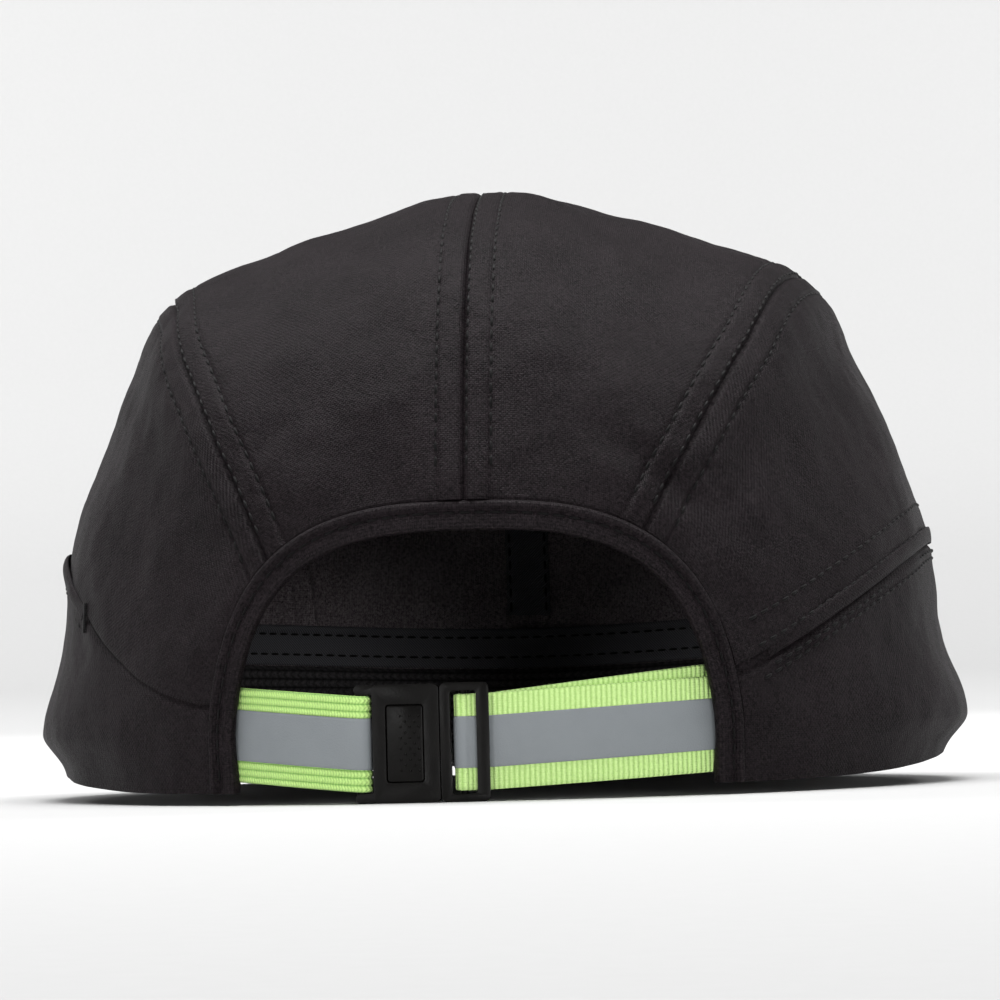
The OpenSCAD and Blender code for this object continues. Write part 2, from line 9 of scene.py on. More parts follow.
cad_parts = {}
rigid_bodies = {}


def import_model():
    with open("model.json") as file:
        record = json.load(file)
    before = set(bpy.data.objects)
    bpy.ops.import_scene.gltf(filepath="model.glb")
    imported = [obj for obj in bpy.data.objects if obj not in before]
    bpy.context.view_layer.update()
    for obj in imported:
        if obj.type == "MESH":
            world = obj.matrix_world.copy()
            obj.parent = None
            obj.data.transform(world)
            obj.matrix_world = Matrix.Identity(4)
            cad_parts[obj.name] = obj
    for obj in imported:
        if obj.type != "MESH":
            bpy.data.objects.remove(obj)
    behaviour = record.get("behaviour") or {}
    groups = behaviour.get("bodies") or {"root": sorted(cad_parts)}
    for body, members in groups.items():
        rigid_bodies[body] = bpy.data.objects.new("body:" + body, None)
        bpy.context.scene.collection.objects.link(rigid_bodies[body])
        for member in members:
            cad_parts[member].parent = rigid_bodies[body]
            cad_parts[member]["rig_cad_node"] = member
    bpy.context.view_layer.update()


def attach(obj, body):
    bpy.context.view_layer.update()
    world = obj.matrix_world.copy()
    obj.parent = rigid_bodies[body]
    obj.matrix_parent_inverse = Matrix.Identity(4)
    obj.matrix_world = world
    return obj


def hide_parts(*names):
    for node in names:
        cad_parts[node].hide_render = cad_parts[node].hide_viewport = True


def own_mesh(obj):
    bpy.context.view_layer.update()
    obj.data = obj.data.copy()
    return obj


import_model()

MM = 0.001

# ---------------------------------------------------------------- crown, in millimetres
CROWN_A, CROWN_B = 97.5, 103.0       # half width and half length
REAR_HEM_Z, HEM_RISE = 2.4, 9.0
CROWN_H = 129.6
POWER = 2.6                          # squareness of the dome
HEM_FLARE = 6.0
WAIST_Z = REAR_HEM_Z + 22
DOME_H = REAR_HEM_Z + CROWN_H - WAIST_Z
FLARE_Z = REAR_HEM_Z + 12.5
CLOTH_T = 1.2
ARCH_HALF_W, ARCH_H, ARCH_POWER = 54.3, 58.0, 2.85
SEAM_ROWS = np.array([[12, 0.385], [31, 0.535], [48, 0.655], [80, 0.8], [96, 0.825],
                      [120, 0.75], [150, 0.62], [180, 0.585]])
SEAM_FOOT_AZ = 59.7
SIDE_END = 0.7
POCKET_END = {-1: 0.7783, 1: 0.7742}
POCKET_BEND = {-1: 1.7, 1: 1.05}
POCKET_START_H = {-1: 18.0, 1: 23.5}
SEAM_START_H = {-1: 46.8, 1: 51.0}
SEAM_W = 5.5                         # from a seam to its topstitching


def sin(deg):
    return np.sin(np.radians(deg))


def cos(deg):
    return np.cos(np.radians(deg))


def smooth(t):
    t = np.clip(t, 0, 1)
    return t * t * (3 - 2 * t)


def bell(x, width):
    return np.exp(-(np.asarray(x, float) / width) ** 2)


def lerp(a, b, t):
    return a + (b - a) * t


def points(*xyz):
    return np.stack(np.broadcast_arrays(*[np.asarray(c, float) for c in xyz]), -1)


def unit(v):
    return v / np.maximum(np.linalg.norm(v, axis=-1, keepdims=True), 1e-12)


def azimuth(p):
    return np.degrees(np.arctan2(p[..., 1], p[..., 0]))


def dome_scale(z):
    t = np.clip((np.asarray(z, float) - WAIST_Z) / DOME_H, 0, 1)
    return (1 - t ** POWER) ** (1 / POWER)


def flared(p):
    az, z = azimuth(p), p[..., 2]
    f = HEM_FLARE * bell(z - FLARE_Z, np.where(z > FLARE_Z, 13, 6)) * bell(
        np.abs(np.abs(az) - 90) - 86, 38)
    return p + points(f * cos(az), f * sin(az), 0 * f)


def plain_at(az, z):
    r = dome_scale(z) / np.hypot(cos(az) / CROWN_A, sin(az) / CROWN_B)
    return points(r * cos(az), r * sin(az), z)


def crown_at(az, z):
    return flared(plain_at(az, z))


def onto_crown(p):
    """The crown point on the ray from the middle of the waist through p."""
    d = p - np.array([0, 0, WAIST_Z])
    e = np.hypot(d[..., 0] / CROWN_A, d[..., 1] / CROWN_B)
    up = np.maximum(d[..., 2], 0) / DOME_H
    k = (e ** POWER + up ** POWER) ** (-1 / POWER)
    return flared(d * k[..., None] + np.array([0, 0, WAIST_Z]))


def toward(x, y, z):
    return onto_crown(points(x, y, np.asarray(z) + WAIST_Z))


def hem_z(az):
    return REAR_HEM_Z + HEM_RISE * smooth((sin(az) + 0.85) / 1.6)


def hem(az):
    return crown_at(az, hem_z(az))


def arch(t):
    """Outer edge of the rear opening, from the right foot at 0 to the left foot at 1."""
    t = np.asarray(t, float)
    q = 2 / ARCH_POWER
    c, s = cos(180 * t), np.maximum(sin(180 * t), 0)
    x = ARCH_HALF_W * np.sign(c) * np.abs(c) ** q
    z = REAR_HEM_Z + ARCH_H * s ** q
    return flared(points(x, -CROWN_B * np.sqrt(dome_scale(z) ** 2 - (x / CROWN_A) ** 2), z))


def arch_t_at(height):
    return np.degrees(np.arcsin((np.asarray(height) / ARCH_H) ** (ARCH_POWER / 2))) / 180


def fore_angle(p):
    return np.degrees(np.arctan2(p[..., 2] - WAIST_Z, -p[..., 1]))


def seam_by_angle(b):
    return toward(np.interp(b, SEAM_ROWS[:, 0], SEAM_ROWS[:, 1]), -cos(b), sin(b))


SEAM_START_T = {side: float(arch_t_at(h)) for side, h in SEAM_START_H.items()}


def side_seam(s, side):
    s = np.asarray(s, float)
    a = arch(SEAM_START_T[side])
    b0, k, m = fore_angle(a), np.minimum(s / 0.88, 1), np.maximum((s - 0.88) / 0.12, 0)
    bend = (a - seam_by_angle(b0)) * ((1 - k) ** 2)[..., None]
    top = onto_crown(seam_by_angle(lerp(b0, 180, k)) + bend)
    foot = crown_at(lerp(azimuth(seam_by_angle(180.0)), SEAM_FOOT_AZ, m),
                    lerp(WAIST_Z, hem_z(SEAM_FOOT_AZ), m))
    return np.where((s < 0.88)[..., None], top, foot)


def center_seam(s):
    s = np.asarray(s, float)
    b = lerp(fore_angle(arch(0.5)), 180, np.minimum(s / 0.88, 1))
    foot = crown_at(90.0, lerp(WAIST_Z, hem_z(90), np.maximum((s - 0.88) / 0.12, 0)))
    return np.where((s < 0.88)[..., None], toward(0 * b, -cos(b), sin(b)), foot)


def pocket_seam(q, side):
    q = np.asarray(q, float)
    a, e = arch(arch_t_at(POCKET_START_H[side])), side_seam(POCKET_END[side], side)
    rise = sin(90 * np.clip(2.1 * q, 0, 1)) ** POCKET_BEND[side]
    return crown_at(lerp(azimuth(a), azimuth(e), q), lerp(a[2], e[2], rise))


# ---------------------------------------------------------------- cloth sheets
def fbm(p, scale, octaves=3):
    """Smooth noise from -1 to 1 over an array of points, scale in millimetres."""
    flat = np.asarray(p).reshape(-1, 3) / scale
    out = [noise.fractal(Vector(q), 0.9, 2.1, octaves) for q in flat]
    return np.clip(np.array(out), -1, 1).reshape(np.shape(p)[:-1])


def grid_normals(g):
    n = unit(np.cross(np.gradient(g, axis=0), np.gradient(g, axis=1)))
    out = np.sign(np.sum(n * (g - np.array([0, 0, WAIST_Z])), -1)[1:-1, 1:-1].mean())
    return n * out


def run_length(g, axis):
    step = np.linalg.norm(np.diff(g, axis=axis), axis=-1)
    pad = [(1, 0), (0, 0)] if axis == 0 else [(0, 0), (1, 0)]
    return np.cumsum(np.pad(step, pad), axis=axis)


def eased(n, strength=0.75):
    """n + 1 values from 0 to 1, closer together at both ends."""
    t = np.linspace(0, 1, n + 1)
    return lerp(t, 0.5 - 0.5 * np.cos(np.pi * t), strength)


class Sheet:
    """A cloth panel over the crown, between four edge curves: b, t run along u, l, r along v."""

    def __init__(self, nu, nv, b, t, l, r, side=1):
        u, v = np.meshgrid(eased(nu, 0.3), eased(nv), indexing="ij")
        e = lambda w: w[..., None]
        g = (e(1 - v) * b(u) + e(v) * t(u) + e(1 - u) * l(v) + e(u) * r(v)
             - e((1 - u) * (1 - v)) * b(0.0) - e(u * (1 - v)) * b(1.0)
             - e((1 - u) * v) * t(0.0) - e(u * v) * t(1.0))
        g = onto_crown(g)
        if side < 0:
            g = g * np.array([-1, 1, 1])
        self.u, self.v, self.base = u, v, g
        self.normal = grid_normals(g)
        self.along, self.across = run_length(g, 0), run_length(g, 1)
        self.to = {"l": self.along, "r": self.along[-1:] - self.along,
                   "b": self.across, "t": self.across[:, -1:] - self.across}
        self.height = np.zeros(u.shape)

    def seam(self, edges, topstitched=True):
        """Sinks the cloth into the seams at these edges, with a raised allowance beside them."""
        for e in edges:
            d = self.to[e]
            self.height -= 0.6 * bell(d, 0.55)
            if topstitched:
                self.height += 0.26 * smooth(d / 1.6) * smooth((SEAM_W + 0.9 - d) / 1.1)
                pucker = fbm(self.base, 5.5, 2) * bell(d - SEAM_W, 3.2)
                self.height += 0.26 * pucker - 0.5 * bell(d - SEAM_W, 0.6)

    def ease(self, amount, scale, octaves=3):
        self.height += amount * fbm(self.base, scale, octaves)

    def points(self):
        return self.base + self.normal * self.height[..., None]

    def line(self, edge, distance, start=0.0, stop=1.0, step=0.4):
        """Points and normals on the cloth at a distance from one edge, every step millimetres."""
        p, rows = self.points(), []
        along_u = edge in "bt"
        d, n = self.to[edge], p.shape[0 if along_u else 1]
        for i in range(n):
            row, q, m = (d[i], p[i], self.normal[i]) if along_u else (d[:, i], p[:, i], self.normal[:, i])
            order = np.argsort(row)
            if distance > row.max():
                continue
            pick = lambda a: np.array([np.interp(distance, row[order], a[order, k]) for k in range(3)])
            rows.append((pick(q), pick(m)))
        path = np.array([a for a, _ in rows])
        normal = np.array([b for _, b in rows])
        s = np.concatenate([[0], np.cumsum(np.linalg.norm(np.diff(path, axis=0), axis=1))])
        at = np.arange(start * s[-1], stop * s[-1], step)
        both = [np.stack([np.interp(at, s, a[:, k]) for k in range(3)], -1) for a in (path, normal)]
        return both[0], unit(both[1])


# ---------------------------------------------------------------- meshes
def new_mesh(name, verts, faces, material, body="cap", slot=None, replaces=(), uv=None, flat=False):
    """A mesh piece in millimetres that rides on a body and stands for CAD nodes."""
    me = bpy.data.meshes.new(name)
    me.from_pydata([tuple(v) for v in np.asarray(verts) * MM], [], [tuple(f) for f in faces])
    if uv is not None:
        layer = me.uv_layers.new(name="cloth")
        index = np.empty(len(me.loops), int)
        me.loops.foreach_get("vertex_index", index)
        layer.data.foreach_set("uv", (np.asarray(uv)[index] * MM).astype(np.float32).ravel())
    me.validate()
    me.materials.append(material)
    if not flat:
        me.shade_smooth()
    obj = bpy.data.objects.new(name, me)
    bpy.context.scene.collection.objects.link(obj)
    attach(obj, body)
    if replaces:
        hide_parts(*replaces)
    return obj


def grid_faces(n, m, start=0, flip=False, wrap=False):
    out = []
    for i in range(n - (0 if wrap else 1)):
        for j in range(m - 1):
            a, b = start + i * m + j, start + (i + 1) % n * m + j
            f = (a, b, b + 1, a + 1)
            out.append(f[::-1] if flip else f)
    return out


def cloth_piece(name, outer, normal, thick, material, uv, lining_painted_light=None, **kw):
    """A closed sheet: its outer grid of points, and an inner one thick millimetres below."""
    n, m = outer.shape[:2]
    inner = outer - normal * thick
    verts = np.concatenate([outer.reshape(-1, 3), inner.reshape(-1, 3)])
    half = n * m
    faces = grid_faces(n, m) + grid_faces(n, m, half, flip=True)
    rim = ([i * m for i in range(n)] + [(n - 1) * m + j for j in range(1, m)]
           + [i * m + m - 1 for i in range(n - 2, -1, -1)] + list(range(m - 2, 0, -1)))
    for a, b in zip(rim, rim[1:] + rim[:1]):
        faces.append((b, a, a + half, b + half))
    obj = new_mesh(name, verts, faces, material, uv=np.concatenate([uv, uv]), **kw)
    # The inner faces take the lighter lining colour, which is painted light.
    if lining_painted_light is not None:
        obj.data.materials.append(lining_painted_light)
        cells = (n - 1) * (m - 1)
        index = np.zeros(len(obj.data.polygons), np.int32)
        index[cells:2 * cells] = 1
        obj.data.polygons.foreach_set("material_index", index)
    return obj


def section_piece(name, sections, material, uv_scale=1.0, closed=False, **kw):
    """A skin over a list of equal closed sections, with capped ends."""
    s = np.asarray(sections)
    n, m = s.shape[:2]
    faces = []
    for i in range(n if closed else n - 1):
        for j in range(m):
            a, b = i * m + j, i * m + (j + 1) % m
            c, d = (i + 1) % n * m + (j + 1) % m, (i + 1) % n * m + j
            faces.append((a, b, c, d))
    if not closed:
        faces += [tuple(range(m))[::-1], tuple(range((n - 1) * m, n * m))]
    along = np.concatenate([[0], np.cumsum(np.linalg.norm(np.diff(s.mean(1), axis=0), axis=1))])
    around = np.concatenate([[0], np.cumsum(np.linalg.norm(np.diff(s.mean(0), axis=0), axis=1))])
    uv = np.stack(np.meshgrid(along, around, indexing="ij"), -1).reshape(-1, 2) * uv_scale
    return new_mesh(name, s.reshape(-1, 3), faces, material, uv=uv, **kw)


def stitches(name, rows, material, length=2.3, gap=0.85, radius=0.3, lift=0.12, body="cap"):
    """Thread stitches along rows of (points, normals), each a small capsule."""
    ring = [(-0.5, 0.25), (-0.42, 0.75), (-0.2, 1.0), (0.2, 1.0), (0.42, 0.75), (0.5, 0.25)]
    sides = 6
    verts, faces = [], []
    for path, normal in rows:
        s = np.concatenate([[0], np.cumsum(np.linalg.norm(np.diff(path, axis=0), axis=1))])
        count = int(s[-1] / (length + gap))
        for k in range(count):
            mid = (k + 0.5) * (length + gap)
            at = [np.array([np.interp(mid + length * e, s, a[:, c]) for c in range(3)])
                  for e in (-0.5, 0, 0.5) for a in (path,)]
            n = unit(np.array([np.interp(mid, s, normal[:, c]) for c in range(3)]))
            t = unit(at[2] - at[0])
            b = np.cross(t, n)
            base = len(verts)
            for e, r in ring:
                center = lerp(at[0], at[2], e + 0.5) + n * (lift - 0.9 * radius * (2 * e) ** 2)
                for j in range(sides):
                    a = 2 * math.pi * j / sides
                    verts.append(center + radius * r * (b * math.cos(a) + 0.8 * n * math.sin(a)))
            for i in range(len(ring) - 1):
                for j in range(sides):
                    p, q = base + i * sides + j, base + i * sides + (j + 1) % sides
                    faces.append((p, q, q + sides, p + sides))
            faces.append(tuple(range(base, base + sides))[::-1])
            faces.append(tuple(range(base + (len(ring) - 1) * sides, base + len(ring) * sides)))
    return new_mesh(name, verts, faces, material, body=body)


# ---------------------------------------------------------------- materials
class Shader:
    """A node material built in a few calls."""

    def __init__(self, name, colour, rough=0.6, **sockets):
        self.mat = bpy.data.materials.new(name)
        self.mat.use_nodes = True
        self.tree = self.mat.node_tree
        self.bsdf = self.tree.nodes["Principled BSDF"]
        self.bsdf.inputs["Base Color"].default_value = (*colour, 1)
        self.bsdf.inputs["Roughness"].default_value = rough
        for key, value in sockets.items():
            self.bsdf.inputs[key.replace("_", " ")].default_value = value
        self.coords = self.add("ShaderNodeTexCoord")

    def add(self, kind, **inputs):
        node = self.tree.nodes.new(kind)
        for key, value in inputs.items():
            socket = node.inputs[key.replace("_", " ")]
            if isinstance(value, bpy.types.NodeSocket):
                self.tree.links.new(value, socket)
            else:
                socket.default_value = value
        return node

    def math(self, operation, a, b=0.0, c=0.0):
        node = self.add("ShaderNodeMath")
        node.operation = operation
        for socket, value in zip(node.inputs, (a, b, c)):
            if isinstance(value, bpy.types.NodeSocket):
                self.tree.links.new(value, socket)
            else:
                socket.default_value = value
        return node.outputs[0]

    def scaled(self, source, size):
        """Coordinates in units of size (metres), which may differ per axis."""
        node = self.add("ShaderNodeMapping")
        self.tree.links.new(self.coords.outputs[source], node.inputs["Vector"])
        sizes = size if isinstance(size, tuple) else (size,) * 3
        node.inputs["Scale"].default_value = [1 / s for s in sizes]
        return node.outputs[0]

    def noise(self, vector, detail=2.0, rough=0.5, scale=1.0):
        return self.add("ShaderNodeTexNoise", Vector=vector, Scale=scale, Detail=detail,
                        Roughness=rough).outputs["Fac"]

    def spread(self, value, low, high, out_low, out_high):
        node = self.add("ShaderNodeMapRange")
        for key, x in zip(("Value", "From Min", "From Max", "To Min", "To Max"),
                          (value, low, high, out_low, out_high)):
            if isinstance(x, bpy.types.NodeSocket):
                self.tree.links.new(x, node.inputs[key])
            else:
                node.inputs[key].default_value = x
        return node.outputs[0]

    def mix(self, factor, a, b):
        node = self.add("ShaderNodeMix")
        node.data_type = "RGBA"
        for key, x in (("Factor", factor), ("A", a), ("B", b)):
            socket = [s for s in node.inputs if s.name == key and s.enabled][0]
            if isinstance(x, bpy.types.NodeSocket):
                self.tree.links.new(x, socket)
            else:
                socket.default_value = x if key == "Factor" else (*x, 1)
        return [s for s in node.outputs if s.enabled][0]

    def bump(self, height, depth, strength=1.0, normal=None):
        node = self.add("ShaderNodeBump", Height=height, Distance=depth, Strength=strength)
        if normal is not None:
            self.tree.links.new(normal, node.inputs["Normal"])
        return node.outputs[0]

    def set(self, key, output):
        self.tree.links.new(output, self.bsdf.inputs[key])

    def threads(self, size, source="UV"):
        """(height 0 to 1, over) of a plain weave with threads size metres apart."""
        v = self.scaled(source, size)
        split = self.add("ShaderNodeSeparateXYZ", Vector=v)
        x, y = split.outputs[0], split.outputs[1]
        row = lambda q: self.math("ABSOLUTE", self.math("SINE", self.math("MULTIPLY", q, math.pi)))
        sign = self.math("MULTIPLY",
                         self.math("SIGN", self.math("SINE", self.math("MULTIPLY", x, math.pi))),
                         self.math("SIGN", self.math("SINE", self.math("MULTIPLY", y, math.pi))))
        over = self.math("GREATER_THAN", sign, 0.0)
        a, b = row(x), row(y)
        blend = self.math("ADD", self.math("MULTIPLY", a, over),
                          self.math("MULTIPLY", b, self.math("SUBTRACT", 1.0, over)))
        return blend, over


def cloth_material(name, dark, light, thread=0.00045, rough=0.5, sheen=0.0):
    """Matte softshell: a fine weave, mottled a little, with a faint specular; sheen only if one is given."""
    s = Shader(name, dark, rough, Sheen_Weight=sheen, Sheen_Roughness=0.4,
               Specular_IOR_Level=0.07)
    grain = s.noise(s.scaled("Object", 0.0006), 2.0, 0.8)
    blot = s.noise(s.scaled("Object", 0.016), 3.0, 0.55)
    weave, _ = s.threads(thread)
    # The weave term is painted shade between the threads; grain and blot are random tone.
    tone = s.math("ADD", s.math("MULTIPLY", grain, 0.68),
                  s.math("ADD", s.math("MULTIPLY", blot, 0.16), s.math("MULTIPLY", weave, 0.16)))
    s.set("Base Color", s.mix(s.spread(tone, 0.38, 0.66, 0.0, 1.0), dark, light))
    first = s.bump(weave, 0.00012, 0.6)
    s.set("Normal", s.bump(grain, 0.0003, 0.9, first))
    return s.mat


CLOTH = cloth_material("softshell", (0.0012, 0.0008, 0.001), (0.0215, 0.0163, 0.0187))
# Inside faces of the panels: the softshell again, made many times lighter as painted light for the inside of
# the crown.
LINING_PAINTED_LIGHT = cloth_material("lining_painted_light", (0.045, 0.037, 0.04), (0.27, 0.232, 0.245))


def thread_material(name, colour, rough=0.55):
    """Sewing thread with a twist."""
    s = Shader(name, colour, rough, Sheen_Weight=0.02, Specular_IOR_Level=0.15)
    twist = s.add("ShaderNodeTexWave", Vector=s.scaled("Object", 0.0006), Scale=1.0, Distortion=3.0,
                  Detail=1.0)
    dark = tuple(0.55 * c for c in colour)
    # Painted shade: the colour darkens where the twist pattern dips, the same pattern as the bump.
    s.set("Base Color", s.mix(twist.outputs["Fac"], dark, colour))
    s.set("Normal", s.bump(twist.outputs["Fac"], 0.00008, 0.6))
    return s.mat


THREAD = thread_material("black_thread", (0.0035, 0.003, 0.0033))


def knit_material(name, dark, light, size):
    """Rib knit: v-shaped loops in lengthwise rows."""
    s = Shader(name, dark, 0.95, Sheen_Weight=0.02, Specular_IOR_Level=0.06)
    split = s.add("ShaderNodeSeparateXYZ", Vector=s.scaled("UV", size))
    x, y = split.outputs[0], split.outputs[1]
    rib = s.math("ABSOLUTE", s.math("SINE", s.math("MULTIPLY", y, math.pi)))
    slant = s.math("ABSOLUTE", s.math("SUBTRACT", s.math("FRACT", y), 0.5))
    loop = s.math("ABSOLUTE", s.math("SINE", s.math("MULTIPLY", s.math("ADD", x, slant), math.pi)))
    height = s.math("MULTIPLY", s.math("POWER", rib, 0.6), s.math("ADD", 0.5, s.math("MULTIPLY", loop, 0.5)))
    fuzz = s.noise(s.scaled("Object", 0.0005), 2.0, 0.7)
    # Painted shade: the colour darkens with the knit's height, down into the grooves between ribs and loops;
    # the fuzz adds random tone.
    s.set("Base Color", s.mix(s.math("MULTIPLY", height, s.spread(fuzz, 0.3, 0.7, 0.4, 1.0)), dark, light))
    s.set("Normal", s.bump(fuzz, 0.0002, 0.5, s.bump(height, 0.0006, 0.9)))
    return s.mat


def twill_material(name, dark, light, thread=0.0007):
    """Twill tape: diagonal ribs."""
    s = Shader(name, dark, 0.8, Sheen_Weight=0.02, Specular_IOR_Level=0.08)
    split = s.add("ShaderNodeSeparateXYZ", Vector=s.scaled("UV", thread))
    line = s.math("ADD", split.outputs[0], split.outputs[1])
    ribs = s.math("ABSOLUTE", s.math("SINE", s.math("MULTIPLY", line, math.pi)))
    weave, _ = s.threads(thread * 0.5)
    height = s.math("ADD", s.math("MULTIPLY", ribs, 0.7), s.math("MULTIPLY", weave, 0.3))
    # Painted shade: the colour darkens with the tape's height, in the grooves between the diagonal ribs and
    # threads.
    s.set("Base Color", s.mix(height, dark, light))
    s.set("Normal", s.bump(height, 0.00025, 0.8))
    return s.mat


def webbing_material(name, dark, light, pitch=0.00105):
    """Grosgrain: fine ribs across the strap."""
    s = Shader(name, light, 0.62, Sheen_Weight=0.1, Specular_IOR_Level=0.3)
    split = s.add("ShaderNodeSeparateXYZ", Vector=s.scaled("UV", (pitch, 0.0005, 1.0)))
    x, y = split.outputs[0], split.outputs[1]
    rib = s.math("ABSOLUTE", s.math("SINE", s.math("MULTIPLY", x, math.pi)))
    yarn = s.math("ABSOLUTE", s.math("SINE", s.math("MULTIPLY", y, math.pi)))
    fuzz = s.noise(s.scaled("Object", 0.0004), 2.0, 0.7)
    # Painted shade: the colour darkens in the grooves between the ribs; the fuzz adds random tone.
    tone = s.math("MULTIPLY", s.math("POWER", rib, 0.5), s.spread(fuzz, 0.25, 0.6, 0.62, 1.0))
    s.set("Base Color", s.mix(tone, dark, light))
    height = s.math("ADD", rib, s.math("MULTIPLY", yarn, 0.25))
    s.set("Normal", s.bump(fuzz, 0.00012, 0.5, s.bump(height, 0.0003, 0.8)))
    return s.mat


CORD_PITCH = 1.5                     # three cords on each side of the stripe


def braid_material(name, dark, light):
    """Elastic braid: lengthwise cords of small slanted loops, with painted shade between the cords and the
    loops.
    """
    s = Shader(name, light, 0.6, Sheen_Weight=0.1, Specular_IOR_Level=0.25)
    split = s.add("ShaderNodeSeparateXYZ", Vector=s.scaled("UV", (0.00062, CORD_PITCH * MM, 1.0)))
    x, y = split.outputs[0], split.outputs[1]
    slant = s.math("ABSOLUTE", s.math("SUBTRACT", s.math("FRACT", y), 0.5))
    braid = s.math("ABSOLUTE", s.math("SINE", s.math("MULTIPLY", s.math("ADD", x, slant), math.pi)))
    cord_shade = s.math("POWER", s.math("ABSOLUTE", s.math("SINE", s.math("MULTIPLY", y, math.pi))), 0.55)
    fuzz = s.noise(s.scaled("Object", 0.0004), 2.0, 0.7)
    loops = s.spread(braid, 0.0, 0.8, 0.6, 1.0)
    # Painted shade: the colour darkens between the cords and between the loops; the fuzz adds random tone.
    tone = s.math("MULTIPLY", s.math("MULTIPLY", cord_shade, loops), s.spread(fuzz, 0.25, 0.6, 0.75, 1.0))
    s.set("Base Color", s.mix(tone, dark, light))
    s.set("Normal", s.bump(fuzz, 0.00012, 0.5, s.bump(braid, 0.0002, 0.7)))
    return s.mat


def reflective_material(name, colour):
    """Silver reflective tape: even grey with a fine glass-bead grain."""
    s = Shader(name, colour, 0.6, Specular_IOR_Level=0.3)
    bead = s.add("ShaderNodeTexVoronoi", Vector=s.scaled("Object", 0.00035), Scale=1.0)
    blot = s.noise(s.scaled("Object", 0.006), 2.0)
    dark = tuple(0.93 * c for c in colour)
    s.set("Base Color", s.mix(s.spread(blot, 0.3, 0.7, 0.0, 1.0), dark, colour))
    s.set("Roughness", s.spread(blot, 0.3, 0.7, 0.55, 0.68))
    s.set("Normal", s.bump(bead.outputs["Distance"], 0.00006, 0.6))
    return s.mat


def plastic_material(name, colour, rough=0.42, grain=0.0005, depth=0.00005):
    """Moulded plastic: a fine grained skin with faint rubbing."""
    s = Shader(name, colour, rough, Specular_IOR_Level=0.1)
    fine = s.noise(s.scaled("Object", grain), 2.0, 0.6)
    wear = s.noise(s.scaled("Object", 0.006), 4.0, 0.6)
    light = tuple(min(1.0, 1.4 * c + 0.001) for c in colour)
    s.set("Base Color", s.mix(s.spread(wear, 0.45, 0.75, 0.0, 1.0), colour, light))
    s.set("Roughness", s.spread(wear, 0.3, 0.7, rough - 0.06, rough + 0.1))
    s.set("Normal", s.bump(fine, depth, 0.7))
    return s.mat


def foam_material(name, colour):
    """Cloth-covered foam with small round cells."""
    s = Shader(name, colour, 0.9, Sheen_Weight=0.1, Specular_IOR_Level=0.2)
    cell = s.add("ShaderNodeTexVoronoi", Vector=s.scaled("Object", 0.0016), Scale=1.0)
    fuzz = s.noise(s.scaled("Object", 0.0006), 2.0, 0.7)
    dark = tuple(0.5 * c for c in colour)
    s.set("Base Color", s.mix(s.spread(cell.outputs["Distance"], 0.0, 0.7, 1.0, 0.0), dark, colour))
    s.set("Normal", s.bump(fuzz, 0.0002, 0.4, s.bump(cell.outputs["Distance"], 0.0005, 0.8)))
    return s.mat


TWILL = twill_material("black_twill", (0.011, 0.011, 0.012), (0.14, 0.14, 0.153))
KNIT = knit_material("sweatband_knit", (0.006, 0.006, 0.006), (0.085, 0.08, 0.083), 0.0021)
LIME_WEBBING = webbing_material("lime_webbing", (0.39, 0.68, 0.16), (0.68, 0.95, 0.36))
LIME_BRAID = braid_material("lime_elastic", (0.2, 0.46, 0.09), (0.66, 0.95, 0.31))
REFLECTIVE = reflective_material("reflective_tape", (0.235, 0.255, 0.27))
BUCKLE = plastic_material("buckle_plastic", (0.003, 0.0026, 0.0023), 0.36)
SHELL = plastic_material("shell_plastic", (0.02, 0.02, 0.022), 0.5, 0.0009, 0.0001)
BOARD = plastic_material("brim_plastic", (0.03, 0.03, 0.03), 0.55)
FOAM = foam_material("foam", (0.045, 0.045, 0.05))
LOOP_TEX = foam_material("loop_tape", (0.02, 0.02, 0.02))


def steel_material():
    """Spring steel with a drawn grain."""
    s = Shader("spring_steel", (0.55, 0.55, 0.57), 0.32, Metallic=1.0)
    grain = s.noise(s.scaled("Object", (0.0002, 0.0002, 0.004)), 2.0)
    s.set("Roughness", s.spread(grain, 0.3, 0.7, 0.25, 0.42))
    s.set("Normal", s.bump(grain, 0.00002, 0.5))
    return s.mat


STEEL = steel_material()


def refinish(node, material):
    """Gives a CAD node that stays visible its finish."""
    for obj in bpy.data.objects:
        if obj.name == node or obj.get("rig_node") == node:
            for s in obj.material_slots:
                s.link = "OBJECT"
                s.material = material


# ---------------------------------------------------------------- cloth panels
ARCH_TOP_T = 0.5


def with_folds(sheet):
    """Soft dents and folds in the cloth around the rear opening and over the top."""
    p = sheet.base
    top = np.array([0.0, -90.0, 66.0])
    d = np.linalg.norm(p - top, axis=-1)
    spin = np.degrees(np.arctan2(p[..., 2] - 30, p[..., 0]))
    rays = np.sin(np.radians(spin * 9 + 40 * np.sin(np.radians(spin * 2.3))))
    sheet.height += 0.55 * rays * bell(d - 14, 22) * smooth((p[..., 2] - 52) / 12)
    sheet.ease(1.1, 42, 2)
    sheet.ease(0.5, 17, 3)
    crease = p[..., 0] * 0.62 + (p[..., 2] - 60) * 0.78
    along = p[..., 0] * 0.78 - (p[..., 2] - 60) * 0.62
    sheet.height -= 1.0 * bell(crease - 29, 3.2) * bell(along - 28, 15) * (p[..., 1] < 0)


def top_panel(side):
    g = Sheet(300, 120, center_seam, lambda u: side_seam(u, side),
              lambda v: arch(lerp(0.5, SEAM_START_T[side], v)),
              lambda v: hem(lerp(90, SEAM_FOOT_AZ, v)), side)
    g.height -= (4.0 * smooth((g.v - 0.04) / 0.36) * smooth((0.98 - g.v) / 0.36)
                 * smooth(4 * g.u) * smooth(3.5 * (0.86 - g.u)))
    with_folds(g)
    g.seam("bt")
    return g


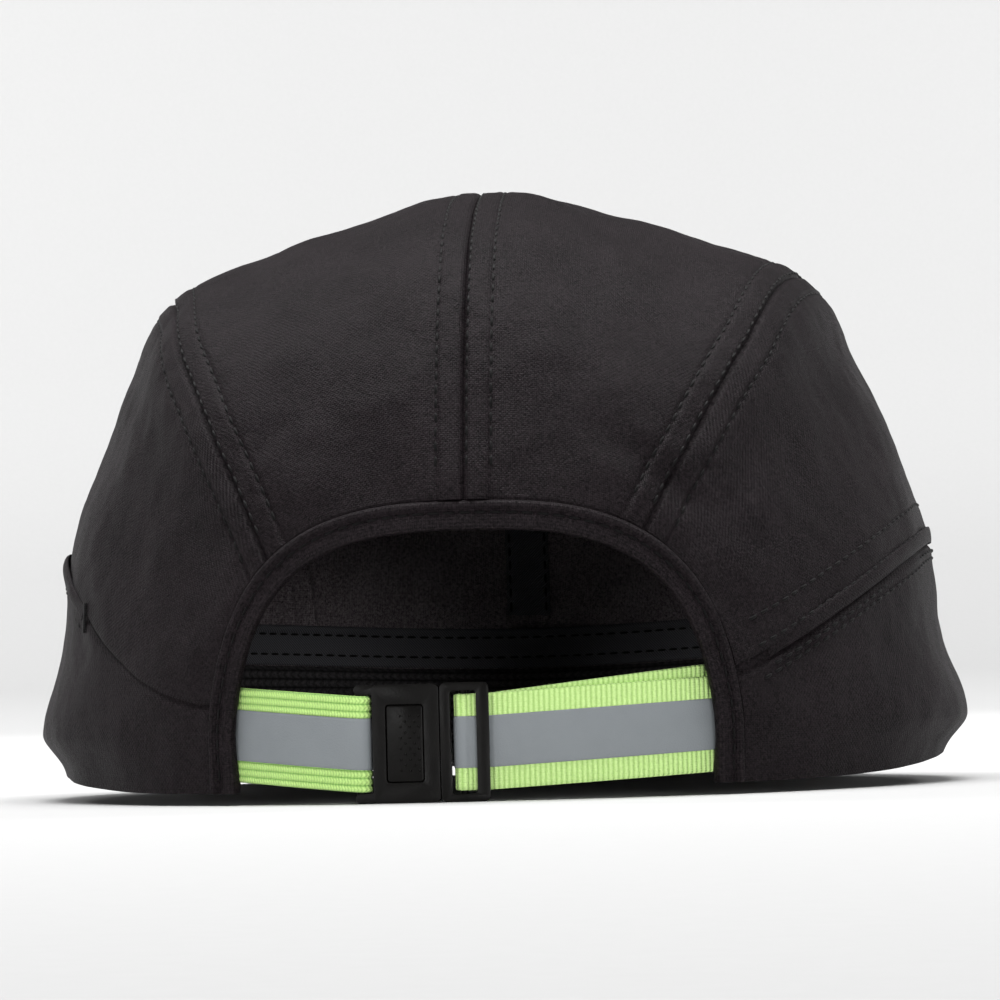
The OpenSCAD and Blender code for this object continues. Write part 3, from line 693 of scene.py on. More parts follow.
def side_panel(side):
    g = Sheet(260, 120, lambda u: pocket_seam(u, side), lambda u: side_seam(u * SIDE_END, side),
              lambda v: arch(lerp(float(arch_t_at(POCKET_START_H[side])), SEAM_START_T[side], v)),
              lambda v: side_seam(lerp(POCKET_END[side], SIDE_END, v), side), side)
    g.height -= (3.4 * smooth(g.v / 0.5) * smooth((0.93 - g.v) / 0.3)
                 * smooth(4 * g.u) * smooth(4 - 4 * g.u))
    with_folds(g)
    g.seam("tr")
    g.seam("b", topstitched=False)
    return g


def lower_panel(side):
    foot = float(azimuth(arch(0.0)))
    g = Sheet(280, 80, lambda u: hem(lerp(foot, SEAM_FOOT_AZ, u)),
              lambda u: pocket_seam(u, side),
              lambda v: arch(arch_t_at(POCKET_START_H[side] * v)),
              lambda v: side_seam(lerp(1, POCKET_END[side], v), side), side)
    g.ease(0.7, 36, 2)
    g.ease(0.35, 15, 3)
    g.seam("r")
    g.height -= 0.5 * bell(g.to["t"], 0.8) + 0.9 * bell(g.to["t"] - 1.9, 0.9) * (side > 0)
    return g


PANELS = {}
SEAM_ROWS_OUT = []
for side, word in ((-1, "left"), (1, "right")):
    for kind, make in (("top", top_panel), ("side", side_panel), ("lower", lower_panel)):
        g = make(side)
        PANELS[kind, side] = g
        uv = np.stack([g.along, g.across], -1).reshape(-1, 2)
        if kind == "lower":
            base = g.points()
            base[:, 0, 2] = g.base[:, 0, 2]
        else:
            base = g.points()
        cloth_piece(f"{kind}_cloth_{word}", base, g.normal, CLOTH_T, CLOTH, uv, lining_painted_light=LINING_PAINTED_LIGHT,
                    slot="crown_cloth", replaces=[f"{kind}_panel_{word}"])
    SEAM_ROWS_OUT += [PANELS["top", side].line("b", SEAM_W, 0.02, 0.995),
                      PANELS["top", side].line("t", 0.95, 0.02, 0.995),
                      PANELS["top", side].line("t", SEAM_W, 0.02, 0.995),
                      PANELS["side", side].line("t", SEAM_W, 0.02, 0.97)]
    if side > 0:                     # rows above and below the right pocket's mouth
        SEAM_ROWS_OUT += [PANELS["side", side].line("b", 7.2, 0.03, 0.95),
                          PANELS["side", side].line("b", 1.6, 0.03, 0.95),
                          PANELS["lower", side].line("t", 5.2, 0.03, 0.95)]
SEAM_ROWS_OUT.append(PANELS["top", 1].line("b", 0.7, 0.02, 0.995))
stitches("crown_topstitching", SEAM_ROWS_OUT, THREAD)


# ---------------------------------------------------------------- binding of the rear opening
BINDING = [(0.5, -1.6), (0.15, -1.0), (0.0, -0.3), (0.12, 0.4), (0.45, 0.85), (0.95, 1.05),
           (1.4, 0.9), (1.72, 0.5), (1.9, 0.1), (2.1, 0.0), (2.45, 0.14), (3.0, 0.34),
           (3.7, 0.42), (4.5, 0.38), (5.2, 0.26), (5.65, 0.03), (5.88, -0.4), (5.9, -1.2),
           (5.7, -1.85), (5.2, -2.1), (3.4, -2.1), (1.5, -2.1)]


def arch_frames(count):
    """Points along the opening, evenly spaced, with the inward and outward directions there."""
    t = np.linspace(0, 1, 4000)
    p = arch(t)
    s = np.concatenate([[0], np.cumsum(np.linalg.norm(np.diff(p, axis=0), axis=1))])
    t = np.interp(np.linspace(0, s[-1], count), s, t)
    p = arch(t)
    ahead = unit(arch(np.minimum(t + 0.004, 1)) - arch(np.maximum(t - 0.004, 0)))
    ahead[0], ahead[-1] = (0, 0, 1), (0, 0, -1)
    out = unit(points(p[:, 0] / CROWN_A ** 2, p[:, 1] / CROWN_B ** 2,
                      np.maximum(0, p[:, 2] - WAIST_Z) / DOME_H ** 2 * 0.5))
    inward = unit(np.cross(out, ahead))
    return p, inward, np.cross(ahead, inward), np.linspace(0, s[-1], count)


def arch_binding():
    p, inward, face, s = arch_frames(560)
    wave = fbm(p, 4.2, 2)
    end = np.minimum(s, s[-1] - s)
    thick = 1 + 0.35 * bell(end - 2, 3)
    sections = []
    for a, (q, h) in enumerate(BINDING):
        soft = 0.28 * bell(q - 3.9, 1.6) if h > -0.5 else 0.0
        roll = 0.13 * bell(q - 0.9, 0.8) if h > -0.5 else 0.0
        lift = h * thick + soft * wave + roll * np.roll(wave, 7)
        sections.append(p + inward * (q + 0.1 * wave * (q > 1))[..., None] + face * lift[..., None])
    obj = section_piece("opening_binding", np.stack(sections, 1), CLOTH,
                        slot="crown_cloth", replaces=["arch_binding"])
    row = (p + inward * 2.62 + face * 0.34, face)
    stitches("binding_stitching", [tuple(a[6:-6] for a in row)], THREAD, length=2.3, radius=0.24)
    return obj


arch_binding()


# ---------------------------------------------------------------- strips on the crown
def strip(c, s0, s1, n, width, m):
    s = np.linspace(s0, s1, n)
    p = c(s)
    ahead = c(s + 0.004) - c(s - 0.004)
    across = unit(np.cross(ahead, p - np.array([0, 0, WAIST_Z])))
    w = np.linspace(-0.5, 0.5, m) * width
    return onto_crown(p[:, None] + across[:, None] * w[None, :, None])


def strip_piece(name, g, depth, thick, material, **kw):
    """A strip of tape whose outer face lies depth millimetres inside the crown."""
    normal = grid_normals(g)
    uv = np.stack([run_length(g, 0), run_length(g, 1)], -1).reshape(-1, 2)
    obj = cloth_piece(name, g - normal * depth, normal, thick, material, uv, **kw)
    inner = g - normal * (depth + thick)
    return obj, inner, normal


def mirror(g, side):
    return g if side > 0 else g * np.array([-1, 1, 1])


tape_rows = []
for word, c, s0, s1, side in (("center", center_seam, 0.05, 0.83, 1),
                              ("left", lambda s: side_seam(s, -1), 0.06, 0.72, -1),
                              ("right", lambda s: side_seam(s, 1), 0.06, 0.72, 1)):
    g = mirror(strip(c, s0, s1, 160, 11.0, 12), side)
    g = g + grid_normals(g) * (0.12 * fbm(g, 9, 2))[..., None]
    _, inner, normal = strip_piece(f"seam_binding_{word}", g, 2.1, 0.5, TWILL,
                                   slot="black_twill", replaces=[f"seam_tape_{word}"])
    tape_rows += [(inner[:, k], -normal[:, k]) for k in (1, -2)]
stitches("seam_tape_stitching", tape_rows, THREAD, length=2.6)

lip_rows = []
for side, word, q0, q1 in ((-1, "left", 0.26, 0.96), (1, "right", 0.04, 0.96)):
    n = 240
    g = mirror(strip(lambda q: pocket_seam(q, side), q0, q1, n, 3.4, 15), side)
    normal = grid_normals(g)
    w = np.linspace(-1, 1, 15)
    roll = np.sqrt(np.maximum(0, 1 - (w * 0.98) ** 2))
    ends = smooth(np.linspace(0, 1, n) * 14) * smooth((1 - np.linspace(0, 1, n)) * 14)
    proud = 1.0 if side < 0 else 0.5 - 0.35 * smooth(np.linspace(0, 1, n)[:, None] * 2.5 - 0.6)
    high = 0.12 + proud * roll[None] * ends[:, None] * (1 + 0.12 * fbm(g, 6, 2))
    uv = np.stack([run_length(g, 0), run_length(g, 1)], -1).reshape(-1, 2)
    outer = g + normal * high[..., None]
    cloth_piece(f"pocket_lip_{word}", outer, normal * (high[..., None] - 0.08), 1.0, CLOTH, uv,
                slot="crown_cloth", replaces=[f"pocket_welt_{word}"])
    below = mirror(strip(lambda q: pocket_seam(q, side), q0, q1, n, 7.0, 3), side)
    low = 0 if below[:, 0, 2].mean() < below[:, -1, 2].mean() else -1
    lip_rows.append((below[:, low] + grid_normals(below)[:, low] * 0.12, grid_normals(below)[:, low]))
stitches("pocket_stitching", lip_rows, THREAD)


def bartack(c, s0, s1, width, side, count=13):
    """Rows of close thread across a short strip, as (points, normals)."""
    g = mirror(strip(c, s0, s1, count, width, 5), side)
    normal = grid_normals(g)
    return [(g[i] + normal[i] * 0.35, normal[i]) for i in range(count)]


tacks = (bartack(lambda q: pocket_seam(0.25, -1) + points(0, 0, 60 * (q - 0.5)), 0.45, 0.55, 1.9, -1)
         + bartack(lambda q: pocket_seam(q, 1) + points(0, 0, 3.2 + 0 * q), 0.035, 0.08, 2.3, 1, 9))
tack_obj = stitches("pocket_bartacks", tacks, THREAD, length=1.7, gap=0.05, radius=0.3)
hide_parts("bartacks")


# ---------------------------------------------------------------- sweatband
BAND_END = 53.0


def band_top(az):
    return hem_z(az) + 26 + 3 * (1 - bell(az - 90, 35))


def band_frames(n):
    az = np.linspace(-BAND_END, 180 + BAND_END, n)
    p = plain_at(az, 0.0)
    out = unit(points(p[:, 0] / CROWN_A ** 2, p[:, 1] / CROWN_B ** 2, 0.0))
    return az, out


def band_section(az, out, rows):
    """Sections through (depth, height) rows, each height an array over az."""
    return np.stack([plain_at(az, z) - out * depth[..., None] for depth, z in rows], 1)


def sweatband():
    az, out = band_frames(620)
    top, low = band_top(az), band_top(az) - 9.8
    base = plain_at(az, top)
    soft = fbm(base, 7, 2)
    one = np.ones_like(az)
    facing = [(1.6, -9.7), (1.6, -0.6), (1.72, -0.15), (2.1, 0.12), (2.65, 0.15), (3.1, -0.2),
              (3.25, -0.75), (3.1, -1.35), (2.7, -1.75), (2.42, -1.95), (2.5, -2.6), (2.6, -4.5),
              (2.55, -6.4), (2.3, -6.9), (2.32, -7.15), (2.6, -7.7), (2.6, -9.2), (2.3, -9.75)]
    rows = [(one * d + (0.12 * soft if d > 2 else 0), top + h) for d, h in facing]
    section_piece("sweatband_facing_tape", band_section(az, out, rows), TWILL,
                  slot="black_twill", replaces=["sweatband_facing"])
    hem_line = hem_z(az) + 0.4
    height = low - 0.15 - hem_line
    knit = [(1.7, 0.02), (1.7, 0.98), (2.3, 1.0), (3.1, 0.985), (3.7, 0.95), (4.0, 0.88), (4.15, 0.7),
            (4.2, 0.5), (4.1, 0.3), (3.9, 0.12), (3.5, 0.03), (2.9, 0.0), (2.2, 0.0)]
    rows = [(one * d + (0.16 * soft if d > 3 else 0), hem_line + height * h) for d, h in knit]
    section_piece("sweatband_knit_tube", band_section(az, out, rows), KNIT,
                  slot="knit", replaces=["sweatband_knit"])
    line = plain_at(az, top - 7.05) - out * 2.42
    upper = plain_at(az, top - 2.1) - out * 2.52
    stitches("facing_stitching", [(line[4:-4], -out[4:-4]), (upper[4:-4], -out[4:-4])], THREAD)


sweatband()


# ---------------------------------------------------------------- brim
BRIM_AZ, BRIM_REACH, BRIM_HALF_W, BRIM_ARCH, PIPING_R = 40.0, 56.0, 80.0, 2.5, 1.9
BRIM_CORNER_Y, BRIM_CORNER_U = 63.0, 0.97


def brim_root(u):
    az = lerp(90, BRIM_AZ, u)
    z = hem_z(az)
    p = plain_at(az, z)
    f = HEM_FLARE * bell(z - FLARE_Z, np.where(z > FLARE_Z, 13, 6)) * bell(np.abs(np.abs(az) - 90) - 86, 38)
    out = unit(p * np.array([1, 1, 0]))
    return p + out * (0.5 + f)[..., None]


def brim_edge(u, inset=0.0):
    s, c = sin(90 * u), np.maximum(cos(90 * u), 0)
    reach = CROWN_B + BRIM_REACH - BRIM_CORNER_Y - inset
    return points((BRIM_HALF_W - inset) * np.sign(s) * np.abs(s) ** 0.86,
                  BRIM_CORNER_Y + reach * c ** 0.8, PIPING_R + BRIM_ARCH * (1 - u * u))


def brim():
    u = np.linspace(-1, 1, 221) * BRIM_CORNER_U
    v = np.linspace(0, 1, 72)[None, :, None]
    g = brim_root(u)[:, None] * (1 - v) + brim_edge(u, PIPING_R + 0.4)[:, None] * v
    up = np.zeros_like(g)
    up[..., 2] = 1
    reach = run_length(g, 1)
    from_edge = reach[:, -1:] - reach
    rows = (4.0, 9.5, 15.0, 20.5)
    dent = sum(0.25 * bell(from_edge - d, 0.6) for d in rows)
    uv = np.stack([run_length(g, 0), reach], -1).reshape(-1, 2)
    thread = []
    for word, base, sign in (("top", 1.05, 1), ("under", -1.05, -1)):
        high = 0.85 - dent + 0.06 * fbm(g, 8, 2)
        outer = g + up * (base + sign * high)[..., None]
        cloth_piece(f"brim_cloth_{word}", outer, up * sign, 0.5, CLOTH, uv,
                    slot="crown_cloth", replaces=[f"brim_cover_{word}"])
        for d in rows:
            path = np.array([[np.interp(d, from_edge[i, ::-1], outer[i, ::-1, k]) for k in range(3)]
                             for i in range(6, len(u) - 6)])
            thread.append((path + up[0, 0] * 0.05 * sign, np.broadcast_to(up[0, 0] * sign, path.shape)))
    stitches("brim_stitching", thread, THREAD)
    u = np.linspace(-1, 1, 321)
    p = brim_edge(u)
    ahead = unit(np.gradient(p, axis=0))
    side = unit(points(ahead[:, 1], -ahead[:, 0], 0.0))
    ring = [p + PIPING_R * (side * math.cos(a) + np.array([0, 0, 1]) * math.sin(a))
            for a in np.linspace(0, 2 * math.pi, 20, endpoint=False)]
    section_piece("brim_piping", np.stack(ring, 1), CLOTH, slot="crown_cloth",
                  replaces=["brim_edge_piping"])


brim()
refinish("brim_board", BOARD)


# ---------------------------------------------------------------- straps
FACE_Y = -99.6
BUCKLE_MID_Z = 12.0
BAR_X, BAR_Y = -22.3, -97.1
LADDER_X, LADDER_Y = -1.5, -97.0
ANCHOR_X, ANCHOR_Y = 57.0, -79.8
STRAP_W, TAPE_W = 19.4, 10.4
ELASTIC_T, WEBBING_T = 1.3, 1.0
ELASTIC_TURN, WEBBING_TURN = 1.7, 1.4


def strap_run(x1, y1, side, power, back, n=90):
    k = np.linspace(1, 0, n)
    return np.stack([x1 + (side * ANCHOR_X - x1) * k, y1 + (ANCHOR_Y + back - y1) * k ** power], -1)


def turn(x, y, r, a0, a1, n=26):
    a = np.radians(np.linspace(a0, a1, n))
    return np.stack([x + r * np.cos(a), y + r * np.sin(a)], -1)


def evenly(path, step):
    s = np.concatenate([[0], np.cumsum(np.linalg.norm(np.diff(path, axis=0), axis=1))])
    at = np.linspace(0, s[-1], int(s[-1] / step))
    return np.stack([np.interp(at, s, path[:, k]) for k in range(path.shape[1])], -1)


def strap_band(name, path, mid, width, near, far, material, z_step=0.25, **kw):
    """A strap on edge along a path; near and far give its two faces' offsets over its height."""
    d = unit(np.gradient(path, axis=0))
    left = np.stack([-d[:, 1], d[:, 0]], -1)
    z = np.linspace(-width / 2, width / 2, int(width / z_step))
    thin = np.sqrt(np.clip(1 - ((np.abs(z) - width / 2 + 0.45) / 0.45).clip(0, 1) ** 2, 0, 1))
    center = (near(z) + far(z)) / 2
    loop = [(center + (near(z) - center) * thin, z), ((center + (far(z) - center) * thin)[::-1], z[::-1])]
    offset = np.concatenate([a for a, _ in loop])
    height = np.concatenate([b for _, b in loop])
    xy = path[:, None] + left[:, None] * offset[None, :, None]
    s = np.concatenate([xy, (mid[:, None] + height[None])[..., None]], -1)
    return section_piece(name, s, material, **kw)


def smoothed(a, n):
    k = np.ones(n) / n
    pad = np.pad(a, [(n // 2, n // 2)] + [(0, 0)] * (a.ndim - 1), mode="edge")
    if a.ndim == 1:
        return np.convolve(pad, k, "valid")[:len(a)]
    return np.stack([np.convolve(pad[:, i], k, "valid")[:len(a)] for i in range(a.shape[1])], -1)


def elastic():
    path = np.concatenate([
        strap_run(BAR_X - 0.6, BAR_Y - ELASTIC_TURN, -1, 1.4, 0),
        turn(BAR_X, BAR_Y, ELASTIC_TURN, -90, 90),
        [[BAR_X - 3.5, BAR_Y + 1.35], [BAR_X - 8.5, BAR_Y + 2.25], [BAR_X - 13, BAR_Y + 3.9]]])
    path = evenly(path, 0.35)
    mid = smoothed(BUCKLE_MID_Z + 2.3 * np.maximum(0, BAR_X - path[:, 0]) / 25, 9)
    rib = lambda z: np.where(np.abs(z) > TAPE_W / 2 - 0.1,
                             0.32 * np.abs(np.sin(np.pi * (np.abs(z) - STRAP_W / 2) / CORD_PITCH)) - 0.16, 0.05)
    strap_band("elastic", path, mid, STRAP_W, lambda z: -ELASTIC_T / 2 - rib(z),
               lambda z: ELASTIC_T / 2 + rib(z), LIME_BRAID, z_step=0.16,
               slot="lime_elastic", replaces=["elastic_strap"])
    end = int(np.argmax(path[:, 0]))
    start = int(np.argmax(path[:, 0] > -50))
    cut = slice(start, end + 8)
    strap_band("elastic_stripe", path[cut], mid[cut], TAPE_W, lambda z: -ELASTIC_T / 2 - 0.27 + 0 * z,
               lambda z: -ELASTIC_T / 2 - 0.02 + 0 * z, REFLECTIVE,
               slot="reflective_tape", replaces=["elastic_reflective_tape"])


def webbing():
    front = strap_run(3.2, LADDER_Y - 0.05, 1, 2.5, 0)
    around = turn(LADDER_X, LADDER_Y, WEBBING_TURN, -50, -270)
    back = strap_run(4.4, LADDER_Y + 1.25, 1, 2.5, 1.6)[::-1]
    path = np.concatenate([front, around, [[3.2, LADDER_Y + 1.25]], back])
    behind = np.concatenate([np.zeros(len(front) + len(around) // 2),
                             np.ones(len(path) - len(front) - len(around) // 2)])
    both = evenly(np.column_stack([path, behind]), 0.35)
    path, behind = both[:, :2], both[:, 2]
    mid = BUCKLE_MID_Z + lerp(2.3, 4.9, behind) * np.maximum(0, path[:, 0] - 3) / 45
    mid = smoothed(mid, 9)
    strap = strap_band("webbing", path, mid, STRAP_W, lambda z: WEBBING_T / 2 + 0 * z,
                       lambda z: -WEBBING_T / 2 + 0 * z, LIME_WEBBING,
                       slot="lime_webbing", replaces=["webbing_strap"])
    start = int(np.argmax(path[:, 0] < 50))
    end = int(np.argmin(path[:, 0]))
    tape = strap_band("webbing_stripe", path[start:end], mid[start:end], TAPE_W,
                      lambda z: WEBBING_T / 2 + 0.2 + 0 * z, lambda z: WEBBING_T / 2 + 0.02 + 0 * z,
                      REFLECTIVE, slot="reflective_tape", replaces=["webbing_reflective_tape"])
    for obj in (strap, tape):
        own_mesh(obj)


elastic()
webbing()


# ---------------------------------------------------------------- buckle
def cad_node(name):
    return [o for o in bpy.data.objects if o.get("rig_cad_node") == name][0]


def softened(node, name, material, width, segments=3, body="cap"):
    """A copy of a moulded CAD node with rounded edges."""
    import bmesh
    bm = bmesh.new()
    bm.from_mesh(cad_node(node).data)
    bmesh.ops.remove_doubles(bm, verts=bm.verts, dist=2e-6)
    bmesh.ops.dissolve_limit(bm, angle_limit=math.radians(1.5), verts=bm.verts, edges=bm.edges)
    me = bpy.data.meshes.new(name)
    bm.to_mesh(me)
    bm.free()
    me.materials.clear()
    me.materials.append(material)
    obj = bpy.data.objects.new(name, me)
    bpy.context.scene.collection.objects.link(obj)
    mod = obj.modifiers.new("round", "BEVEL")
    mod.width, mod.segments = width * MM, segments
    mod.limit_method, mod.angle_limit = "ANGLE", math.radians(38)
    mod.use_clamp_overlap = True
    bpy.context.view_layer.update()
    done = bpy.data.meshes.new_from_object(obj.evaluated_get(bpy.context.evaluated_depsgraph_get()))
    obj.modifiers.clear()
    obj.data = done
    done.shade_smooth()
    done.set_sharp_from_angle(angle=math.radians(40))
    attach(obj, body)
    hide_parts(node)
    return obj


softened("buckle_housing", "housing", BUCKLE, 0.4)
softened("buckle_clip", "clip_moulding", BUCKLE, 0.22, 2, body="clip")
softened("release_button", "button_moulding", BUCKLE, 0.25, 2, body="button")
refinish("button_spring", STEEL)


def button_dots():
    """Raised grip dots in staggered rows on the button's right two thirds."""
    verts, faces = [], []
    radius, high, around, rings = 0.27, 0.22, 10, 4
    for row in range(11):
        odd = row % 2
        for column in range(2 if odd else 3):
            x = -14.0 + 1.85 * column + 0.925 * odd
            z = BUCKLE_MID_Z + 1.1 * (row - 5)
            base = len(verts)
            for i in range(rings):
                a = math.pi / 2 * i / rings
                for j in range(around):
                    b = 2 * math.pi * j / around
                    verts.append((x + radius * math.cos(a) * math.cos(b),
                                  FACE_Y + 0.33 - high * math.sin(a),
                                  z + radius * math.cos(a) * math.sin(b)))
            verts.append((x, FACE_Y + 0.33 - high, z))
            for i in range(rings - 1):
                for j in range(around):
                    p, q = base + i * around + j, base + i * around + (j + 1) % around
                    faces.append((p, q, q + around, p + around))
            for j in range(around):
                p, q = base + (rings - 1) * around + j, base + (rings - 1) * around + (j + 1) % around
                faces.append((p, q, base + rings * around))
            faces.append(tuple(range(base, base + around))[::-1])
    new_mesh("button_dots", verts, faces, BUCKLE, body="button", slot="buckle_plastic")


button_dots()


# ---------------------------------------------------------------- insert
SHELL_INSET, SHELL_T, PAD_T = 6.5, 2.0, 6.0
RIM_Z = REAR_HEM_Z + 63
PAD_INSET = SHELL_INSET + SHELL_T + 0.3


def dome_at(az, k, inset):
    inset = np.asarray(inset, float)
    rim = np.degrees(np.arcsin(((RIM_Z - WAIST_Z) / (DOME_H - inset)) ** (POWER / 2)))
    up = lerp(rim, 90, k)
    r = np.maximum(cos(up), 0) ** (2 / POWER)
    return points((CROWN_A - inset) * r * cos(az), (CROWN_B - inset) * r * sin(az),
                  WAIST_Z + (DOME_H - inset) * sin(up) ** (2 / POWER))


def shell():
    """The hard dome, with four slots near its rim."""
    n, m = 80, 18
    verts, faces = [], []
    for i in range(m):
        for a in range(n):
            verts.append(dome_at(360 * a / n, i / m, SHELL_INSET))
    verts.append(dome_at(0.0, 1.0, SHELL_INSET))
    for i in range(m - 1):
        for a in range(n):
            az = 360 * (a + 0.5) / n
            slot = any(abs(az - c) < 4.6 for c in (45, 135, 225, 315)) and 2 <= i < 7
            if not slot:
                b = (a + 1) % n
                faces.append((i * n + a, i * n + b, (i + 1) * n + b, (i + 1) * n + a))
    top = m * n
    for a in range(n):
        faces.append(((m - 1) * n + a, (m - 1) * n + (a + 1) % n, top))
    obj = new_mesh("shell_dome", verts, faces, SHELL, body="insert")
    wall = obj.modifiers.new("wall", "SOLIDIFY")
    wall.thickness, wall.offset = SHELL_T * MM, -1
    fine = obj.modifiers.new("fine", "SUBSURF")
    fine.levels = fine.render_levels = 2
    bpy.context.view_layer.update()
    obj.data = bpy.data.meshes.new_from_object(obj.evaluated_get(bpy.context.evaluated_depsgraph_get()))
    obj.modifiers.clear()
    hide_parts("insert_shell")


def pillow(name, az0, az1, k0, k1, node, n=56, m=30):
    """A foam pad inside the shell, thinner towards its edges."""
    u, v = np.meshgrid(np.linspace(0, 1, n), np.linspace(0, 1, m), indexing="ij")
    az, k = lerp(az0, az1, u), lerp(k0, k1, v)
    edge = np.minimum(np.minimum(u, 1 - u) * 50, np.minimum(v, 1 - v) * 32)
    puff = 1 - (1 - np.clip(edge / 6, 0, 1)) ** 2.4
    outer = dome_at(az, k, PAD_INSET + 0.25)
    inner = dome_at(az, k, PAD_INSET + 0.9 + (PAD_T - 1.1) * puff ** 0.7)
    normal = outer - inner
    uv = np.stack([run_length(outer, 0), run_length(outer, 1)], -1).reshape(-1, 2)
    obj = cloth_piece(name, outer, normal, 1.0, FOAM, uv, body="insert", slot="foam", replaces=[node])


def crown_pad():
    n, m = 72, 22
    verts, faces = [], []
    for inset_row, flip in ((0, False), (1, True)):
        base = len(verts)
        for i in range(m):
            t = i / m
            k = lerp(0.7, 1, t)
            puff = 1 - (1 - min(1, t * 34 / 6)) ** 2.4
            inset = PAD_INSET + 0.25 if not inset_row else PAD_INSET + 0.9 + (PAD_T - 1.1) * puff ** 0.7
            for a in range(n):
                verts.append(dome_at(360 * a / n, k, inset))
        verts.append(dome_at(0.0, 1.0, inset))
        for i in range(m - 1):
            for a in range(n):
                b = (a + 1) % n
                f = (base + i * n + a, base + i * n + b, base + (i + 1) * n + b, base + (i + 1) * n + a)
                faces.append(f[::-1] if flip else f)
        for a in range(n):
            f = (base + (m - 1) * n + a, base + (m - 1) * n + (a + 1) % n, base + m * n)
            faces.append(f[::-1] if flip else f)
    half = m * n + 1
    for a in range(n):
        b = (a + 1) % n
        faces.append((b, a, half + a, half + b))
    obj = new_mesh("pad_crown", verts, faces, FOAM, body="insert", slot="foam", replaces=["crown_pad"])


shell()
crown_pad()
pillow("pad_front", 54, 126, 0.03, 0.4, "front_pad")
pillow("pad_rear", 243, 297, 0.03, 0.4, "rear_pad")
pillow("pad_side_right", -36, 36, 0.03, 0.4, "side_pad_right")
pillow("pad_side_left", 144, 216, 0.03, 0.4, "side_pad_left")


def patches(name, depth, thick, material, body, node):
    """Four pads of hook or loop tape, joined into one piece."""
    places = [(center_seam, 0.11, 0.2, 1), (center_seam, 0.65, 0.75, 1),
              (lambda s: side_seam(s, -1), 0.34, 0.43, -1), (lambda s: side_seam(s, 1), 0.34, 0.43, 1)]
    verts, faces, uvs = [], [], []
    n, m = 24, 14
    for c, s0, s1, side in places:
        g = mirror(strip(c, s0, s1, n, 13.0, m), side)
        normal = grid_normals(g)
        outer, inner = g - normal * depth, g - normal * (depth + thick)
        base, half = len(verts), n * m
        verts += list(outer.reshape(-1, 3)) + list(inner.reshape(-1, 3))
        uvs += [np.stack([run_length(g, 0), run_length(g, 1)], -1).reshape(-1, 2)] * 2
        faces += grid_faces(n, m, base) + grid_faces(n, m, base + half, flip=True)
        rim = ([i * m for i in range(n)] + [(n - 1) * m + j for j in range(1, m)]
               + [i * m + m - 1 for i in range(n - 2, -1, -1)] + list(range(m - 2, 0, -1)))
        faces += [(base + b, base + a, base + a + half, base + b + half)
                  for a, b in zip(rim, rim[1:] + rim[:1])]
    new_mesh(name, verts, faces, material, body=body, slot="hook_and_loop", replaces=[node],
             uv=np.concatenate(uvs))


HOOK = plastic_material("hook_tape", (0.015, 0.015, 0.015), 0.5, 0.0007, 0.0004)
patches("loop_tape_pads", 2.8, 0.9, LOOP_TEX, "cap", "loop_patches")
patches("hook_tape_pads", 4.05, 2.2, HOOK, "insert", "hook_patches")


# ---------------------------------------------------------------- stage and camera
def stage_mesh(name, verts, faces, material):
    me = bpy.data.meshes.new(name)
    me.from_pydata(verts, [], faces)
    me.materials.append(material)
    me.shade_smooth()
    obj = bpy.data.objects.new(name, me)
    bpy.context.scene.collection.objects.link(obj)
    return obj


def paper():
    s = Shader("studio_paper", (0.53, 0.53, 0.53), 0.9, Specular_IOR_Level=0.1)
    grain = s.noise(s.scaled("Object", 0.004), 2.0)
    s.set("Base Color", s.mix(grain, (0.52, 0.52, 0.52), (0.54, 0.54, 0.54)))
    return s.mat


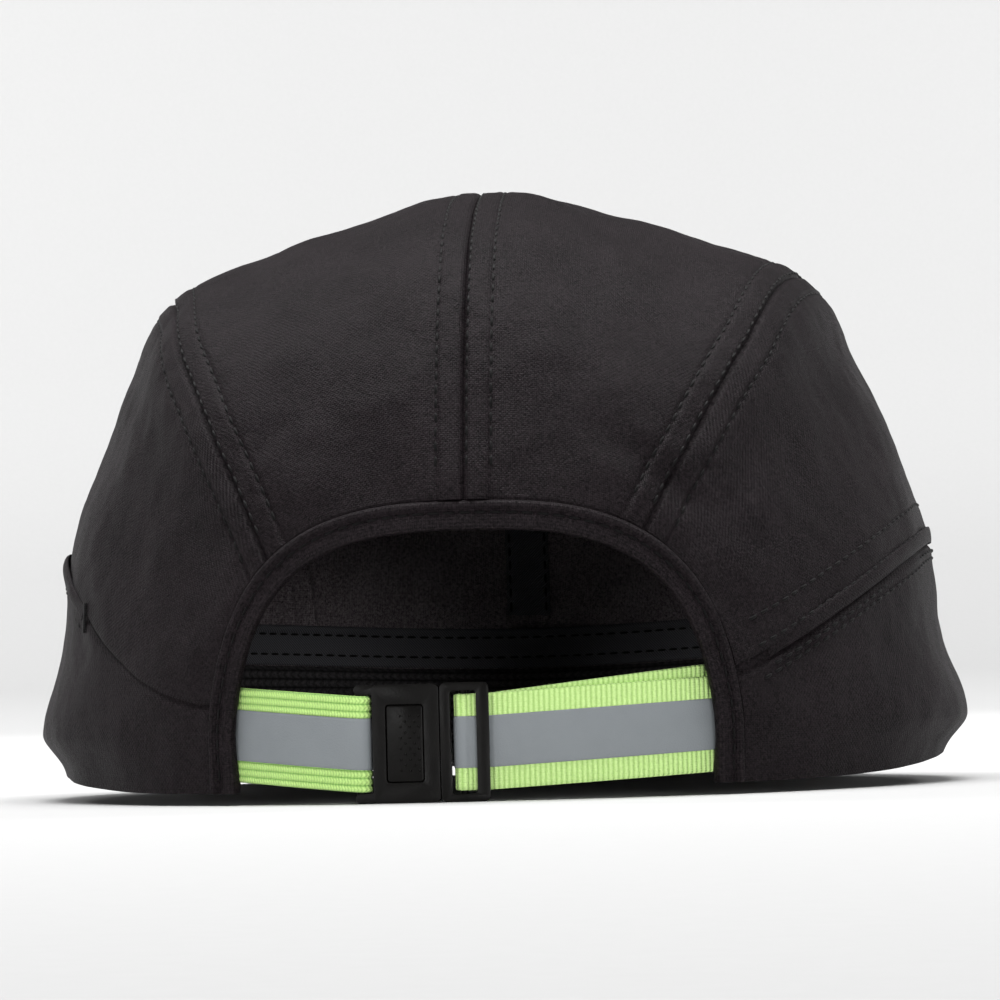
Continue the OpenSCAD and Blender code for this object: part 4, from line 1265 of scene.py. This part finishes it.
def sweep_floor():
    """A pale floor that curves up into a backdrop all round, far from the object."""
    rings = [(0.0, 0.0), (1.0, 0.0), (2.0, 0.0), (2.6, 0.03), (3.0, 0.14), (3.2, 0.35), (3.3, 0.9)]
    n = 48
    verts = [(0, 0, 0)] + [(r * math.cos(2 * math.pi * a / n), r * math.sin(2 * math.pi * a / n), z)
                           for r, z in rings[1:] for a in range(n)]
    faces = [(0, 1 + a, 1 + (a + 1) % n) for a in range(n)]
    for i in range(len(rings) - 2):
        for a in range(n):
            p, q = 1 + i * n + a, 1 + i * n + (a + 1) % n
            faces.append((p, p + n, q + n, q))
    stage_mesh("floor", verts, faces, paper())


def area_light(name, place, target, size, power):
    data = bpy.data.lights.new(name, "AREA")
    data.shape, data.size, data.size_y, data.energy = "RECTANGLE", size[0], size[1], power
    obj = bpy.data.objects.new(name, data)
    bpy.context.scene.collection.objects.link(obj)
    obj.location = place
    obj.rotation_euler = (Vector(target) - Vector(place)).to_track_quat("-Z", "Y").to_euler()


def studio():
    sweep_floor()
    middle = (0, 0, 0.06)
    area_light("top", (0.0, -0.12, 1.6), middle, (1.3, 0.8), 46)
    for x, power in ((-0.55, 4.6), (0.5, 4.6)):
        area_light(f"front_{'left' if x < 0 else 'right'}", (x, -1.35, 0.1), (0, 0, 0.05),
                   (0.3, 0.24), power)
    for x in (-1.5, 1.5):
        area_light(f"backdrop_{'left' if x < 0 else 'right'}", (x, 1.0, 1.6), (0.3 * x, 3.1, 0.3),
                   (1.2, 0.6), 57)
    world = bpy.data.worlds.new("studio")
    world.use_nodes = True
    world.node_tree.nodes["Background"].inputs[0].default_value = (1, 1, 1, 1)
    world.node_tree.nodes["Background"].inputs[1].default_value = 0.11
    bpy.context.scene.world = world


def colours():
    """Plain display colours, so that the lime and the dark cloth keep their own."""
    view = bpy.context.scene.view_settings
    view.view_transform, view.look = "Standard", "None"


def camera():
    """Looks at the rear, level with the strap, from 0.8 m behind the cap."""
    yaw, roll = math.radians(-4.0), math.radians(1.45)
    turn_back = Matrix.Rotation(roll, 4, "Y") @ Matrix.Rotation(-yaw, 4, "Z")
    data = bpy.data.cameras.new("camera")
    data.lens, data.sensor_width, data.shift_y = 144.0, 36.0, 0.183
    obj = bpy.data.objects.new("camera", data)
    bpy.context.scene.collection.objects.link(obj)
    place = Matrix.Translation((-0.0013, -0.9, 0.0238)) @ Matrix.Rotation(math.radians(90), 4, "X")
    obj.matrix_world = turn_back @ place
    bpy.context.scene.camera = obj


studio()
colours()
camera()
